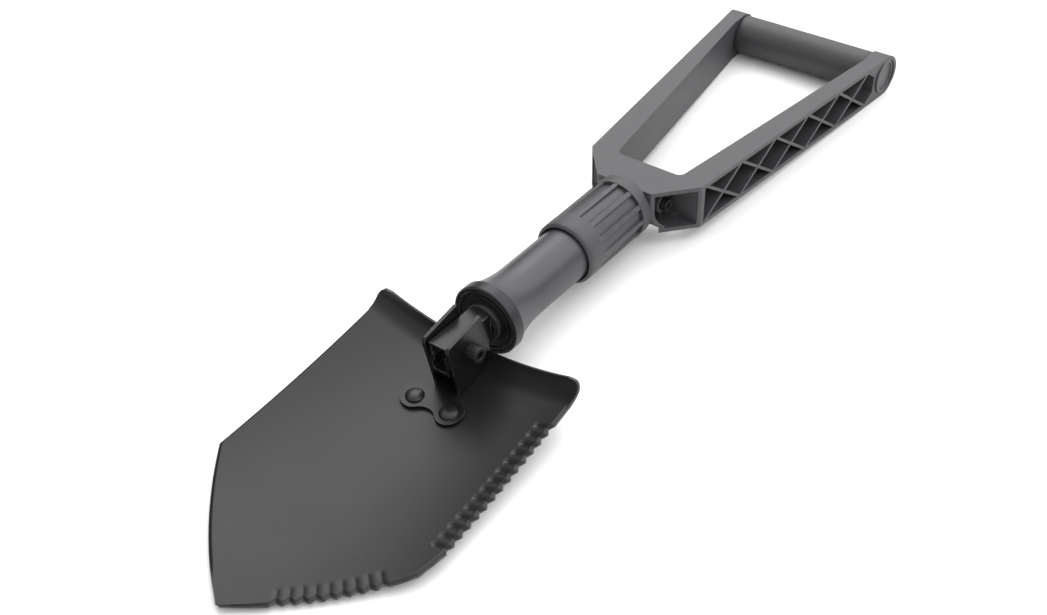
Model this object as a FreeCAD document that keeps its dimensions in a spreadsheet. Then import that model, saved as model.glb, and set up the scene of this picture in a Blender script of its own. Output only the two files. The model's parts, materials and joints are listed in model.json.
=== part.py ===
import FreeCAD, Part
import math
import os

import Sketcher

# Folding camp shovel.  Everything is drawn in the shaft's frame: the shaft runs along +Y from the
# blade to the grip, +Z is the side that faces up in use, and y = 0 is the front face of the flared
# nut.  At the end the whole tool is pitched about X so that the blade and the grip both touch z = 0.

Vector = FreeCAD.Vector

SIZES = (
    # name, millimetres, what it is
    ("blade_half_width", 75.8, "half the width of the blade at its shoulders"),
    ("shoulder_flare", 2.9, "how much narrower it is, each side, at its rear flange"),
    ("shoulder_reach", 139.4, "from the nut's front face to the shoulders"),
    ("point_length", 74.0, "from the shoulders to the tip of the blade"),
    ("tip_edge_radius", 270.0, "curve of the two digging edges"),
    ("blade_thickness", 2.0, "steel sheet of the blade"),
    ("blade_low_reach", 160.0, "where the blade's middle line lies lowest"),
    ("blade_low_depth", 35.5, "depth of the middle line there, under the shaft's axis"),
    ("blade_rear_depth", 24.5, "depth of the middle line where the flange starts"),
    ("dish_at_flange", 14.1, "how far the edges stand above the middle line at the flange"),
    ("dish_at_shoulder", 8.2, "how far they stand above it at the shoulders"),
    ("flange_start", 20.0, "from the nut's front face to the start of the flange's bend"),
    ("flange_bend_radius", 14.0, "bend of the rear flange"),
    ("flange_bend_angle", 64.0, "degrees, how far the flange is turned up"),
    ("flange_straight", 1.8, "flat strip above the bend"),
    ("flange_corner_radius", 8.0, "rounded corners of the flange"),
    ("side_tooth_pitch", 6.85, "teeth on the right-hand side edge"),
    ("side_tooth_depth", 2.4, "their depth"),
    ("side_tooth_first", 36.0, "where they start, from the nut's front face"),
    ("tip_tooth_pitch", 6.67, "teeth on the right-hand digging edge"),
    ("tip_tooth_depth", 2.8, "their depth"),
    ("tip_tooth_first", 24.3, "where they start, along the edge from the shoulder"),
    ("tip_tooth_margin", 27.0, "plain edge left between the last of them and the tip"),
    ("shoulder_cut", 13.5, "chamfer of the right-hand shoulder, along the side edge"),
    ("shoulder_cut_share", 0.5, "its length along the digging edge, as a share of that"),
    ("pivot_reach", 24.5, "blade pivot, ahead of the nut's front face"),
    ("ear_inner_half", 7.4, "half the gap between the bracket's ears"),
    ("ear_thickness", 2.0, "sheet of the ears"),
    ("bracket_thickness", 2.2, "sheet of the bracket's foot"),
    ("bracket_rear", 9.0, "rear end of the foot, ahead of the nut's front face"),
    ("ear_swing_gap", 0.5, "play between the ears and the inner tube as the blade folds"),
    ("rivet_half_spacing", 12.7, "bracket rivets, each side of the middle"),
    ("rivet_reach", 49.6, "bracket rivets, ahead of the nut's front face"),
    ("rivet_shank_radius", 3.0, "rivet shank"),
    ("rivet_head_radius", 5.75, "domed rivet head"),
    ("rivet_head_height", 2.6, "domed rivet head"),
    ("rivet_tail_height", 1.8, "rivet's lower head"),
    ("lobe_margin", 2.85, "foot of the bracket round each rivet head"),
    ("waist_rise", 0.6, "hollow between the lobes, over a lobe's own radius"),
    ("bolt_radius", 4.0, "blade pivot bolt"),
    ("bolt_head_rise", 1.0, "its socket head, over the shank"),
    ("bolt_head_height", 7.0, "its socket head"),
    ("bolt_tail", 1.5, "thread that shows past the nut"),
    ("socket_flats", 5.0, "hexagon socket across flats"),
    ("socket_depth", 4.0, "hexagon socket"),
    ("nut_flats", 13.0, "pivot nut across flats"),
    ("nut_height", 6.0, "pivot nut"),
    ("washer_thickness", 0.7, "friction washers each side of the pivot block"),
    ("bush_wall", 1.5, "bushing in the pivot block"),
    ("block_half_height", 9.8, "pivot block"),
    ("block_nose", 16.0, "pivot block, ahead of the pivot"),
    ("block_back", 2.7, "pivot block's rear face, ahead of the nut's front face"),
    ("block_wall", 2.0, "pivot block's walls at its open nose"),
    ("block_mouth_depth", 8.0, "its open nose"),
    ("spigot_length", 32.0, "pivot block's spigot in the inner tube"),
    ("core_radius", 12.0, "inner tube of the shaft"),
    ("core_wall", 2.7, "its wall"),
    ("core_setback", 14.0, "rear end of the inner tube, ahead of the handle's front face"),
    ("disc_thickness", 4.0, "thrust disc in the flared nut"),
    ("rim_wall", 2.5, "rim of the flared nut, outside the disc"),
    ("rim_length", 8.0, "cylindrical band of the rim"),
    ("flare_rise", 5.1, "rim of the flared nut, over the plain sleeve"),
    ("flare_curve_radius", 48.0, "hollow curve of the flare"),
    ("flare_length", 36.0, "where the flare has become the plain sleeve"),
    ("relief_depth", 2.2, "turned relief behind the disc"),
    ("relief_length", 6.0, "turned relief behind the disc"),
    ("sleeve_wall", 2.0, "plain sleeve of the front nut"),
    ("sleeve_overlap", 17.3, "how far the sleeve reaches into the collar"),
    ("insert_wall", 3.1, "threaded inserts of both nuts"),
    ("insert_length", 26.0, "threaded inserts of both nuts"),
    ("insert_setback", 6.0, "front nut's insert, ahead of the end of the flare"),
    ("collar_length", 65.0, "ribbed collar"),
    ("collar_play", 0.6, "between the sleeve and the collar's bore"),
    ("collar_wall", 2.8, "collar, over its ribs"),
    ("collar_ring_step", 0.3, "plain ring at the collar's rear end, over the ribs"),
    ("collar_ring_width", 9.0, "that ring"),
    ("collar_washer", 3.4, "thrust washer in the collar's rear end"),
    ("collar_washer_gap", 1.0, "between that washer and the collar's insert"),
    ("collar_rib_count", 12.0, "ribs round the collar"),
    ("collar_rib_width", 3.0, "each rib"),
    ("collar_pocket_depth", 2.0, "pockets between the ribs, at the ring"),
    ("collar_band", 13.0, "smooth band at the collar's mouth"),
    ("yoke_front", 142.0, "front face of the handle"),
    ("yoke_half_width", 19.7, "half its width"),
    ("relief_wall", 2.3, "wall between the yoke's side pockets and the relief that it folds by"),
    ("yoke_wall", 14.0, "half the width of the yoke's middle, between its side pockets"),
    ("hinge_setback", 15.5, "handle hinge, behind the handle's front face"),
    ("hinge_pin_radius", 4.0, "handle hinge barrel"),
    ("boss_face", 19.6, "outer face of the hinge screws' bosses"),
    ("boss_radius", 7.0, "hinge screws' bosses"),
    ("screw_radius", 2.5, "hinge screws"),
    ("screw_grip", 7.5, "length of each hinge screw in the barrel"),
    ("screw_head_radius", 4.4, "hinge screw's head"),
    ("screw_head_height", 4.6, "hinge screw's head"),
    ("screw_socket_flats", 4.0, "hexagon socket across flats"),
    ("screw_socket_depth", 2.6, "hexagon socket"),
    ("tongue_half_width", 6.0, "tongue of the shaft in the handle"),
    ("tongue_radius", 9.2, "rounded end of the tongue"),
    ("tongue_plug", 20.0, "round plug of the tongue in the inner tube"),
    ("kink_half_width", 41.8, "widest point of the yoke"),
    ("kink_setback", 24.9, "where it lies, behind the handle's front face"),
    ("web_height", 3.0, "web over the tongue's slot"),
    ("arm_root", 17.5, "from the widest point in to the hand opening's narrow end"),
    ("opening_setback", 27.8, "hand opening, behind the handle's front face"),
    ("opening_corner", 5.0, "its rounded corners"),
    ("arm_end_half_width", 66.2, "outer faces of the arms at the grip"),
    ("arm_end_thickness", 14.0, "arms at the grip"),
    ("handle_length", 242.2, "from the handle's front face to the axis of the grip"),
    ("grip_radius", 14.2, "grip bar"),
    ("grip_shoulder", 1.6, "step from the grip bar to its spigots"),
    ("grip_spigot_wall", 1.95, "wall of the grip bar at its spigots"),
    ("grip_end_gap", 0.2, "between the grip bar's shoulders and the arms"),
    ("cap_margin", 2.75, "arm above and below the round caps"),
    ("cap_inset", 1.4, "round caps, inside the arms' outer faces"),
    ("cap_thickness", 6.0, "round caps in the arm ends"),
    ("cap_dish_rim", 2.4, "rim round each cap's shallow dish"),
    ("cap_dish_depth", 1.2, "that dish"),
    ("lattice_border", 2.95, "arm above and below the lattice's openings"),
    ("yoke_border", 2.85, "yoke above and below its side pockets"),
    ("yoke_rib", 1.8, "rib in each side pocket, at the hinge"),
    ("lattice_first", 24.0, "first crossing of the lattice, along the arm from the kink"),
    ("lattice_pitch", 37.8, "from crossing to crossing"),
    ("lattice_rib", 1.9, "ribs of the lattice"),
    ("lattice_post", 3.5, "upright at the start of the lattice"),
    ("lattice_wall", 3.0, "wall left behind the lattice"),
    ("running_fit", 0.05, "radial play of pins and bushings"),
    ("sliding_gap", 0.3, "play between parts that slide or turn past each other"),
    ("face_gap", 0.05, "play between flat faces"),
)

doc = FreeCAD.newDocument("camp_shovel")
sheet = doc.addObject("Spreadsheet::Sheet", "Sizes")


class Dim:
    """A length that carries both its number and the sheet formula it comes from."""

    def __init__(self, value, text):
        self.value = value
        self.text = text

    def __float__(self):
        return self.value

    def _join(self, other, sign, value):
        return Dim(value, f"({self.text} {sign} {dim(other).text})")

    def __add__(self, other):
        return self._join(other, "+", self.value + float(other))

    def __sub__(self, other):
        return self._join(other, "-", self.value - float(other))

    def __mul__(self, other):
        return self._join(other, "*", self.value * float(other))

    def __truediv__(self, other):
        return self._join(other, "/", self.value / float(other))

    def __radd__(self, other):
        return dim(other) + self

    def __rsub__(self, other):
        return dim(other) - self

    def __neg__(self):
        return Dim(-self.value, f"(-1 * {self.text})")


def dim(value):
    return value if isinstance(value, Dim) else Dim(float(value), f"({float(value)})")


class Sizes:
    """Every size of the sheet, by name."""


for row, (alias, number, note) in enumerate(SIZES, start=1):
    sheet.set(f"A{row}", note)
    sheet.set(f"B{row}", str(number))
    sheet.setAlias(f"B{row}", alias)
    setattr(Sizes, alias, Dim(number, f"Sizes.{alias}"))
doc.recompute()
S = Sizes
NODES = []

# Sizes that follow from those: each piece is placed from what it fits to.
S.rear_half_width = S.blade_half_width - S.shoulder_flare
S.tip_reach = S.shoulder_reach + S.point_length
S.lobe_radius = S.rivet_head_radius + S.lobe_margin
S.ear_outer = S.ear_inner_half + S.ear_thickness
S.bolt_head_radius = S.bolt_radius + S.bolt_head_rise
S.core_bore_radius = S.core_radius - S.core_wall
S.core_end = S.yoke_front - S.core_setback
S.core_start = S.face_gap - S.block_back
S.insert_bore = S.core_radius + S.sliding_gap
S.tube_bore = S.insert_bore + S.insert_wall
S.sleeve_radius = S.tube_bore + S.sleeve_wall
S.flare_radius = S.sleeve_radius + S.flare_rise
S.disc_radius = S.flare_radius - S.rim_wall
S.collar_end = S.yoke_front - S.sliding_gap
S.collar_mouth = S.collar_end - S.collar_length
S.sleeve_end = S.collar_mouth + S.sleeve_overlap
S.collar_bore_radius = S.sleeve_radius + S.collar_play
S.collar_radius = S.collar_bore_radius + S.collar_wall
S.collar_ring_radius = S.collar_radius + S.collar_ring_step
S.hinge_reach = S.yoke_front + S.hinge_setback
S.kink_reach = S.yoke_front + S.kink_setback
S.opening_start = S.yoke_front + S.opening_setback
S.opening_half_width = S.kink_half_width - S.arm_root
S.grip_reach = S.yoke_front + S.handle_length
S.arm_end_inner = S.arm_end_half_width - S.arm_end_thickness
S.arm_end_straight = S.grip_radius - S.grip_end_gap
S.cap_radius = S.grip_radius - S.grip_shoulder
S.handle_half_height = S.cap_radius + S.cap_margin
S.lattice_half_height = S.handle_half_height - S.lattice_border
S.yoke_pocket_half = S.handle_half_height - S.yoke_border


def bind(obj, prop, value):
    """Set a property and tie it to the sheet."""
    setattr(obj, prop, float(value))
    obj.setExpression(prop, dim(value).text)


def node(obj, label):
    """Register a finished sub-part under its name."""
    obj.Label = label
    NODES.append(obj)
    return obj


# ---- PartDesign helpers ----------------------------------------------------------------------

def new_body(name):
    return doc.addObject("PartDesign::Body", name + "_body")


def origin_item(body, role):
    return next(item for item in body.Origin.OriginFeatures if item.Role == role)


def arc_between(start, end, radius, ccw):
    """The shorter arc from start to end."""
    middle = (start + end) * 0.5
    chord = end - start
    rise = math.sqrt(max(radius ** 2 - chord.Length ** 2 / 4.0, 0.0))
    side = Vector(-chord.y, chord.x, 0).normalize()
    centre = middle + side * (rise if ccw else -rise)
    first, last = (start, end) if ccw else (end, start)
    angle_a = math.atan2(first.y - centre.y, first.x - centre.x)
    angle_b = math.atan2(last.y - centre.y, last.x - centre.x)
    return Part.ArcOfCircle(Part.Circle(centre, Vector(0, 0, 1), radius), angle_a, angle_b)


def outline(body, plane, corners, level=None):
    """A closed sketch.  Each corner is (u, v), or (u, v, radius) where a bend leads to the next
    corner: a positive radius turns anticlockwise, a negative one clockwise."""
    sketch = body.newObject("Sketcher::SketchObject", "outline")
    sketch.AttachmentSupport = [(origin_item(body, plane), "")]
    sketch.MapMode = "FlatFace"
    if level is not None:
        sketch.AttachmentOffset = FreeCAD.Placement(Vector(0, 0, float(level)), FreeCAD.Rotation())
        sketch.setExpression("AttachmentOffset.Base.z", dim(level).text)
    add_loop(sketch, corners)
    return sketch


def add_loop(sketch, corners):
    first = sketch.GeometryCount
    count = len(corners)
    points = [Vector(float(corner[0]), float(corner[1]), 0) for corner in corners]
    heads = []
    tails = []
    for index, corner in enumerate(corners):
        start = points[index]
        end = points[(index + 1) % count]
        ccw = True
        if len(corner) == 3:
            ccw = float(corner[2]) > 0
            sketch.addGeometry(arc_between(start, end, abs(float(corner[2])), ccw), False)
        else:
            sketch.addGeometry(Part.LineSegment(start, end), False)
        heads.append(1 if ccw else 2)
        tails.append(2 if ccw else 1)
    for index in range(count):
        after = (index + 1) % count
        sketch.addConstraint(Sketcher.Constraint(
            "Coincident", first + index, tails[index], first + after, heads[after]))
    for index, corner in enumerate(corners):
        for kind, value in (("DistanceX", corner[0]), ("DistanceY", corner[1])):
            place = sketch.addConstraint(Sketcher.Constraint(
                kind, -1, 1, first + index, heads[index], float(value)))
            sketch.setExpression(f"Constraints[{place}]", dim(value).text)
        if len(corner) == 3:
            radius = corner[2] if float(corner[2]) > 0 else -corner[2]
            place = sketch.addConstraint(Sketcher.Constraint("Radius", first + index, float(radius)))
            sketch.setExpression(f"Constraints[{place}]", dim(radius).text)


def circle_sketch(body, plane, centre, radius, level=None):
    sketch = body.newObject("Sketcher::SketchObject", "circle")
    sketch.AttachmentSupport = [(origin_item(body, plane), "")]
    sketch.MapMode = "FlatFace"
    if level is not None:
        sketch.AttachmentOffset = FreeCAD.Placement(Vector(0, 0, float(level)), FreeCAD.Rotation())
        sketch.setExpression("AttachmentOffset.Base.z", dim(level).text)
    middle = Vector(float(centre[0]), float(centre[1]), 0)
    sketch.addGeometry(Part.Circle(middle, Vector(0, 0, 1), float(radius)), False)
    place = sketch.addConstraint(Sketcher.Constraint("Radius", 0, float(radius)))
    sketch.setExpression(f"Constraints[{place}]", dim(radius).text)
    for kind, value in (("DistanceX", centre[0]), ("DistanceY", centre[1])):
        place = sketch.addConstraint(Sketcher.Constraint(kind, -1, 1, 0, 3, float(value)))
        sketch.setExpression(f"Constraints[{place}]", dim(value).text)
    return sketch


def extrude(body, kind, sketch, length, both_ways=False, reverse=False):
    """Pad or Pocket of a sketch."""
    feature = body.newObject("PartDesign::" + kind, kind)
    feature.Profile = (sketch, [""])
    bind(feature, "Length", length)
    if both_ways:
        feature.SideType = "Symmetric"
    feature.Reversed = reverse
    doc.recompute()
    return feature


def spin(body, corners, kind="Revolution"):
    """Revolution or Groove about the shaft's axis, from (radius, y) corners."""
    sketch = outline(body, "XY_Plane", corners)
    feature = body.newObject("PartDesign::" + kind, kind)
    feature.Profile = (sketch, [""])
    feature.ReferenceAxis = (origin_item(body, "Y_Axis"), [""])
    feature.Angle = 360
    doc.recompute()
    return feature


def ring(label, inner, outer, start, end):
    """A plain ring or tube round the shaft's axis."""
    body = new_body(label)
    spin(body, [(inner, start), (outer, start), (outer, end), (inner, end)])
    return node(body, label)


def cross_rod(label, pieces, reach):
    """Round pieces on an axis across the tool at y = reach: (radius, from x, to x) each."""
    rods = []
    for radius, start, end in pieces:
        rod = doc.addObject("Part::Cylinder", label + "_rod")
        bind(rod, "Radius", radius)
        bind(rod, "Height", end - start)
        rod.Placement = FreeCAD.Placement(
            Vector(float(start), float(reach), 0), FreeCAD.Rotation(Vector(0, 1, 0), 90))
        rod.setExpression("Placement.Base.x", dim(start).text)
        rod.setExpression("Placement.Base.y", dim(reach).text)
        rods.append(rod)
    return rods


def boolean(kind, base, tool):
    feature = doc.addObject("Part::" + kind, kind)
    feature.Base = base
    feature.Tool = tool
    return feature


def fuse_all(parts):
    feature = doc.addObject("Part::MultiFuse", "joined")
    feature.Shapes = parts
    return feature


def tube_across(label, outer, inner, start, end, reach):
    solid, hole = cross_rod(label, [(outer, start, end), (inner, start, end)], reach)
    return boolean("Cut", solid, hole)


def hexagon(flats, start, end, reach, turn=30.0):
    """Hexagonal prism on an axis across the tool."""
    prism = doc.addObject("Part::Prism", "hexagon")
    prism.Polygon = 6
    bind(prism, "Circumradius", flats / math.sqrt(3.0))
    bind(prism, "Height", end - start)
    prism.Placement = FreeCAD.Placement(
        Vector(float(start), float(reach), 0),
        FreeCAD.Rotation(Vector(0, 1, 0), 90) * FreeCAD.Rotation(Vector(0, 0, 1), turn))
    prism.setExpression("Placement.Base.x", dim(start).text)
    prism.setExpression("Placement.Base.y", dim(reach).text)
    return prism


def feature_from(shape, label):
    feature = doc.addObject("Part::Feature", label + "_shape")
    feature.Shape = shape
    return feature


# ---- Blade -----------------------------------------------------------------------------------

def middle_line(y):
    """Depth of the blade's middle line at y."""
    low = -float(S.blade_low_reach)
    rise = float(S.blade_low_depth) - float(S.blade_rear_depth)
    share = (y - low) / (-float(S.flange_start) - low)
    return -float(S.blade_low_depth) + rise * share ** 2


def dish(y):
    """How far the edges stand above the middle line at y."""
    span = float(S.shoulder_reach) - float(S.flange_start)
    share = (-y - float(S.flange_start)) / span
    return float(S.dish_at_flange) + (float(S.dish_at_shoulder) - float(S.dish_at_flange)) * share


BLADE_OVERRUN = 6.0    # how far the blade's face is drawn past the tip before it is cut
BLADE_ROOM = 60.0      # taller than everything on the blade, for the prisms that cut it


def blade_profile():
    """Points (y, z, y of the dish) of the upper face's middle line, from the tip to the flange."""
    start = -float(S.flange_start)
    tip = -float(S.tip_reach) - BLADE_OVERRUN
    count = 24
    points = []
    for index in range(count):
        y = tip + (start - tip) * index / count
        points.append((y, middle_line(y), y))
    low = middle_line(start)
    slope = math.atan(2.0 * (float(S.blade_low_depth) - float(S.blade_rear_depth))
                      / (float(S.blade_low_reach) - float(S.flange_start)))
    radius = float(S.flange_bend_radius)
    bend = math.radians(float(S.flange_bend_angle))
    steps = 8
    for index in range(steps + 1):
        angle = slope + bend * index / steps
        y = start + radius * (math.sin(angle) - math.sin(slope))
        z = low + radius * (math.cos(slope) - math.cos(angle))
        points.append((y, z, start))
    last_y, last_z, _ = points[-1]
    for share in (0.5, 1.0):
        reach = float(S.flange_straight) * share
        points.append((last_y + reach * math.cos(slope + bend),
                       last_z + reach * math.sin(slope + bend), start))
    return points


def blade_face():
    """The blade's upper face, wider and longer than the blade."""
    half = float(S.blade_half_width)
    columns = 13
    profile = blade_profile()
    grid = []
    for index in range(columns):
        x = half * 1.15 * (2.0 * index / (columns - 1) - 1.0)
        grid.append([Vector(x, y, z + dish(dish_y) * (x / half) ** 2) for y, z, dish_y in profile])
    surface = Part.BSplineSurface()
    surface.interpolate(grid)
    return surface.toShape()


def blade_outline():
    """Plan of the blade, anticlockwise from the rear left corner, past the flange's top."""
    half = float(S.blade_half_width)
    rear = float(S.rear_half_width)
    shoulder = -float(S.shoulder_reach)
    left_rear = Vector(-rear, 1.0, 0)
    right_rear = Vector(rear, 1.0, 0)
    bend_left = Vector(-rear, -float(S.flange_start), 0)
    bend_right = Vector(rear, -float(S.flange_start), 0)
    left = Vector(-half, shoulder, 0)
    right = Vector(half, shoulder, 0)
    tip = Vector(0, -float(S.tip_reach), 0)
    down = (right - bend_right).normalize()
    cut_top = right - down * float(S.shoulder_cut)
    digging = arc_between(tip, right, float(S.tip_edge_radius), True)
    cut_low = digging.value(digging.LastParameter
                            - float(S.shoulder_cut * S.shoulder_cut_share) / digging.Radius)
    edges = [Part.LineSegment(left_rear, bend_left)]
    edges.append(Part.LineSegment(bend_left, left))
    edges.append(arc_between(left, tip, float(S.tip_edge_radius), True))
    edges.append(arc_between(tip, cut_low, float(S.tip_edge_radius), True))
    edges.append(Part.LineSegment(cut_low, cut_top))
    edges.append(Part.LineSegment(cut_top, bend_right))
    edges.append(Part.LineSegment(bend_right, right_rear))
    edges.append(Part.LineSegment(right_rear, left_rear))
    wire = Part.Wire([edge.toShape() for edge in edges])
    return Part.Face(wire), bend_right, cut_top, digging


def notch(valley, outward, width, depth):
    """A V with bowed sides cut across an edge: valley is on the edge, outward points off the blade."""
    along = Vector(-outward.y, outward.x, 0)
    reach = 3.0
    bow = outward * depth * 0.22
    outer = valley + outward * reach
    half = width * 0.5
    corners = (outer - along * half, valley - along * half, valley - outward * depth,
               valley + along * half, outer + along * half)
    edges = [Part.LineSegment(corners[0], corners[1]).toShape()]
    for start, end in (corners[1:3], corners[2:4]):
        edges.append(Part.Arc(start, (start + end) * 0.5 + bow, end).toShape())
    edges.append(Part.LineSegment(corners[3], corners[4]).toShape())
    edges.append(Part.LineSegment(corners[4], corners[0]).toShape())
    return Part.Face(Part.Wire(edges))


def tooth_notches(bend_right, cut_top, digging):
    """Notches of both rows of teeth, in plan."""
    cuts = []
    along = (cut_top - bend_right).normalize()
    outward = Vector(-along.y, along.x, 0)
    length = (cut_top - bend_right).Length
    pitch = float(S.side_tooth_pitch)
    first = float(S.side_tooth_first) - float(S.flange_start)
    for index in range(int((length - first) / pitch) + 1):
        place = bend_right + along * (first + pitch * index)
        cuts.append(notch(place, outward, pitch, float(S.side_tooth_depth)))
    pitch = float(S.tip_tooth_pitch)
    length = (digging.LastParameter - digging.FirstParameter) * digging.Radius
    room = length - float(S.tip_tooth_first + S.tip_tooth_margin)
    for index in range(int(room / pitch) + 1):
        travel = (float(S.tip_tooth_first) + pitch * index) / digging.Radius
        parameter = digging.LastParameter - travel
        place = digging.value(parameter)
        outward = (place - digging.Center).normalize()
        cuts.append(notch(place, outward, pitch, float(S.tip_tooth_depth)))
    return cuts


def blade_solid(face):
    """The dished sheet, cut to its outline, with its teeth and its rounded flange corners."""
    sheet_metal = thickened(face, -float(S.blade_thickness))
    plan, bend_right, cut_top, digging = blade_outline()
    for flat in tooth_notches(bend_right, cut_top, digging):
        plan = plan.cut(flat)
    lift = Vector(0, 0, -float(S.blade_low_depth) - 10.0)
    prism = plan.translated(lift).extrude(Vector(0, 0, BLADE_ROOM))
    return sheet_metal.common(prism).common(flange_front())


def thickened(face, thickness):
    """A sheet of this thickness on the face: above it, or below it where negative."""
    solid = face.makeOffsetShape(thickness, 0.01, fill=True)
    if solid.Volume < 0:
        solid.reverse()
    return solid


def flange_front():
    """A block as high as the flange, with its rounded upper corners, seen from the front."""
    radius = float(S.flange_corner_radius)
    margin = 4.0
    half = float(S.blade_half_width) + margin
    top = flange_top()
    floor = -float(S.blade_low_depth) - 20.0
    length = float(S.tip_reach) + BLADE_OVERRUN
    block = Part.makeBox(2.0 * half, length, top.z + 1.0 - floor, Vector(-half, -length, floor))
    rounded = []
    for side in (-1.0, 1.0):
        middle = side * (top.x - radius)
        outer = side * half
        corner = Part.makeBox(half - top.x + radius, float(S.flange_start), radius + 2.0,
                              Vector(min(middle, outer), -float(S.flange_start), top.z - radius))
        rod = Part.makeCylinder(radius, length, Vector(middle, -length, top.z - radius), Vector(0, 1, 0))
        rounded.append(corner.cut(rod))
    return block.cut(rounded)


def flange_top():
    """The right-hand rear corner of the flange's upper edge."""
    y, z, dish_y = blade_profile()[-1]
    half = float(S.rear_half_width)
    rise = dish(dish_y) * (half / float(S.blade_half_width)) ** 2
    return Vector(half, y, z + rise)


# Outline of each ear: (y, z) from the pivot, from the upper rear corner round the front.  Its lower
# end runs through the blade and is cut off there.
EAR_OUTLINE = ((9.9, 18.0), (-19.1, 12.6), (-11.7, -24.0), (-12.1, -34.0), (14.9, -34.0), (19.3, -13.5))


def bracket_foot(face):
    """Foot of the bracket: a strip under the ears and a lobe round each rivet, on the blade's face."""
    rivet = float(S.rivet_half_spacing)
    reach = -float(S.rivet_reach)
    lobe = float(S.lobe_radius)
    waist = lobe + float(S.waist_rise)
    hollow_drop = math.sqrt((lobe + waist) ** 2 - rivet ** 2)
    half = float(S.ear_outer)
    floor = Vector(0, 0, -float(S.blade_low_depth) - 15.0)
    height = BLADE_ROOM
    plate = Part.makeBox(2.0 * half, -float(S.bracket_rear) - reach, height,
                         Vector(-half, reach, 0) + floor)
    hollow = Part.makeCylinder(waist, height, Vector(0, reach - hollow_drop, 0) + floor)
    lobes = [Part.makeCylinder(lobe, height, Vector(side * rivet, reach, 0) + floor)
             for side in (-1.0, 1.0)]
    touch = lobe / (lobe + waist)
    bridge_half = rivet * (1.0 - touch)
    bridge = Part.makeBox(2.0 * bridge_half, hollow_drop * touch, height,
                          Vector(-bridge_half, reach - hollow_drop * touch, 0) + floor).cut(hollow)
    plan = plate.fuse([bridge, *lobes])
    return thickened(face, float(S.bracket_thickness)).common(plan)


def bracket_ear(face):
    """The right-hand ear, with its upper front corner rounded to swing past the inner tube."""
    inner = float(S.ear_inner_half)
    reach = float(S.pivot_reach)
    corners = [Vector(inner, y - reach, z) for y, z in EAR_OUTLINE]
    ear = Part.Face(Part.makePolygon(corners + corners[:1])).extrude(
        Vector(float(S.ear_thickness), 0, 0))
    room = 60.0
    swing = float(S.pivot_reach + S.core_start - S.ear_swing_gap)
    turning = Part.makeCylinder(swing, room, Vector(0, -reach, 0), Vector(1, 0, 0))
    upper_front = Part.makeBox(room, room, room, Vector(0, -reach - room, 0))
    above = face.extrude(Vector(0, 0, BLADE_ROOM))
    return ear.cut(upper_front.cut(turning)).common(above)


def bracket_solid(face):
    """Foot and both ears of the pivot bracket, bent from one sheet."""
    ear = bracket_ear(face)
    other = ear.mirror(Vector(0, 0, 0), Vector(1, 0, 0))
    outer = float(S.ear_outer)
    bore = Part.makeCylinder(float(S.bolt_radius + S.running_fit), outer * 4.0,
                             Vector(-outer * 2.0, -float(S.pivot_reach), 0), Vector(1, 0, 0))
    return bracket_foot(face).fuse([ear, other]).cut(bore).removeSplitter()


def rivet_holes():
    holes = []
    for side in (-1.0, 1.0):
        place = Vector(side * float(S.rivet_half_spacing), -float(S.rivet_reach),
                       -float(S.blade_low_depth) - 15.0)
        holes.append(Part.makeCylinder(float(S.rivet_shank_radius), BLADE_ROOM, place))
    return holes


def rivet_solids(blade, bracket):
    """Two rivets: shank, domed head above the foot and a flatter one under the blade."""
    rivets = []
    dish_rise = 0.4
    foot_top = middle_line(-float(S.rivet_reach)) + float(S.bracket_thickness) + dish_rise
    under = foot_top - float(S.bracket_thickness + S.blade_thickness)
    for side in (-1.0, 1.0):
        place = Vector(side * float(S.rivet_half_spacing), -float(S.rivet_reach), 0)
        shank = Part.makeCylinder(float(S.rivet_shank_radius), foot_top - under + 1.0,
                                  place + Vector(0, 0, under - 0.5))
        upper = dome(float(S.rivet_head_radius), float(S.rivet_head_height)).translated(
            place + Vector(0, 0, foot_top - dish_rise))
        lower = dome(float(S.rivet_head_radius), float(S.rivet_tail_height))
        lower.rotate(Vector(0, 0, 0), Vector(1, 0, 0), 180)
        lower = lower.translated(place + Vector(0, 0, under + 0.6))
        rivet = shank.fuse([upper, lower]).cut([blade, bracket])
        rivets.append(max(rivet.Solids, key=lambda solid: solid.Volume))
    return Part.makeCompound(rivets)


def dome(radius, height):
    """A round-topped rivet head standing on z = 0, with a short straight skirt below it."""
    ball = (radius ** 2 + height ** 2) / (2.0 * height)
    cap = Part.makeSphere(ball, Vector(0, 0, height - ball)).common(
        Part.makeCylinder(radius, height + 1.0))
    skirt = Part.makeCylinder(radius, 0.8, Vector(0, 0, -0.8))
    return cap.fuse(skirt)


upper_face = blade_face()
blade_shape = blade_solid(upper_face).cut(rivet_holes())
bracket_shape = bracket_solid(upper_face).cut(rivet_holes())
node(feature_from(blade_shape, "blade"), "blade")
node(feature_from(bracket_shape, "blade_bracket"), "blade_bracket")
node(feature_from(rivet_solids(blade_shape, bracket_shape), "bracket_rivets"), "bracket_rivets")


# ---- Blade pivot -----------------------------------------------------------------------------

pivot = -S.pivot_reach
ear_outer = S.ear_outer

bolt_rods = cross_rod("pivot_bolt", [
    (S.bolt_radius, -ear_outer - S.nut_height - S.washer_thickness - S.bolt_tail, ear_outer + 1.0),
    (S.bolt_head_radius, ear_outer, ear_outer + S.bolt_head_height)], pivot)
bolt = boolean("Cut", fuse_all(bolt_rods), hexagon(
    S.socket_flats, ear_outer + S.bolt_head_height - S.socket_depth,
    ear_outer + S.bolt_head_height + 1.0, pivot))
node(bolt, "pivot_bolt")

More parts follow.
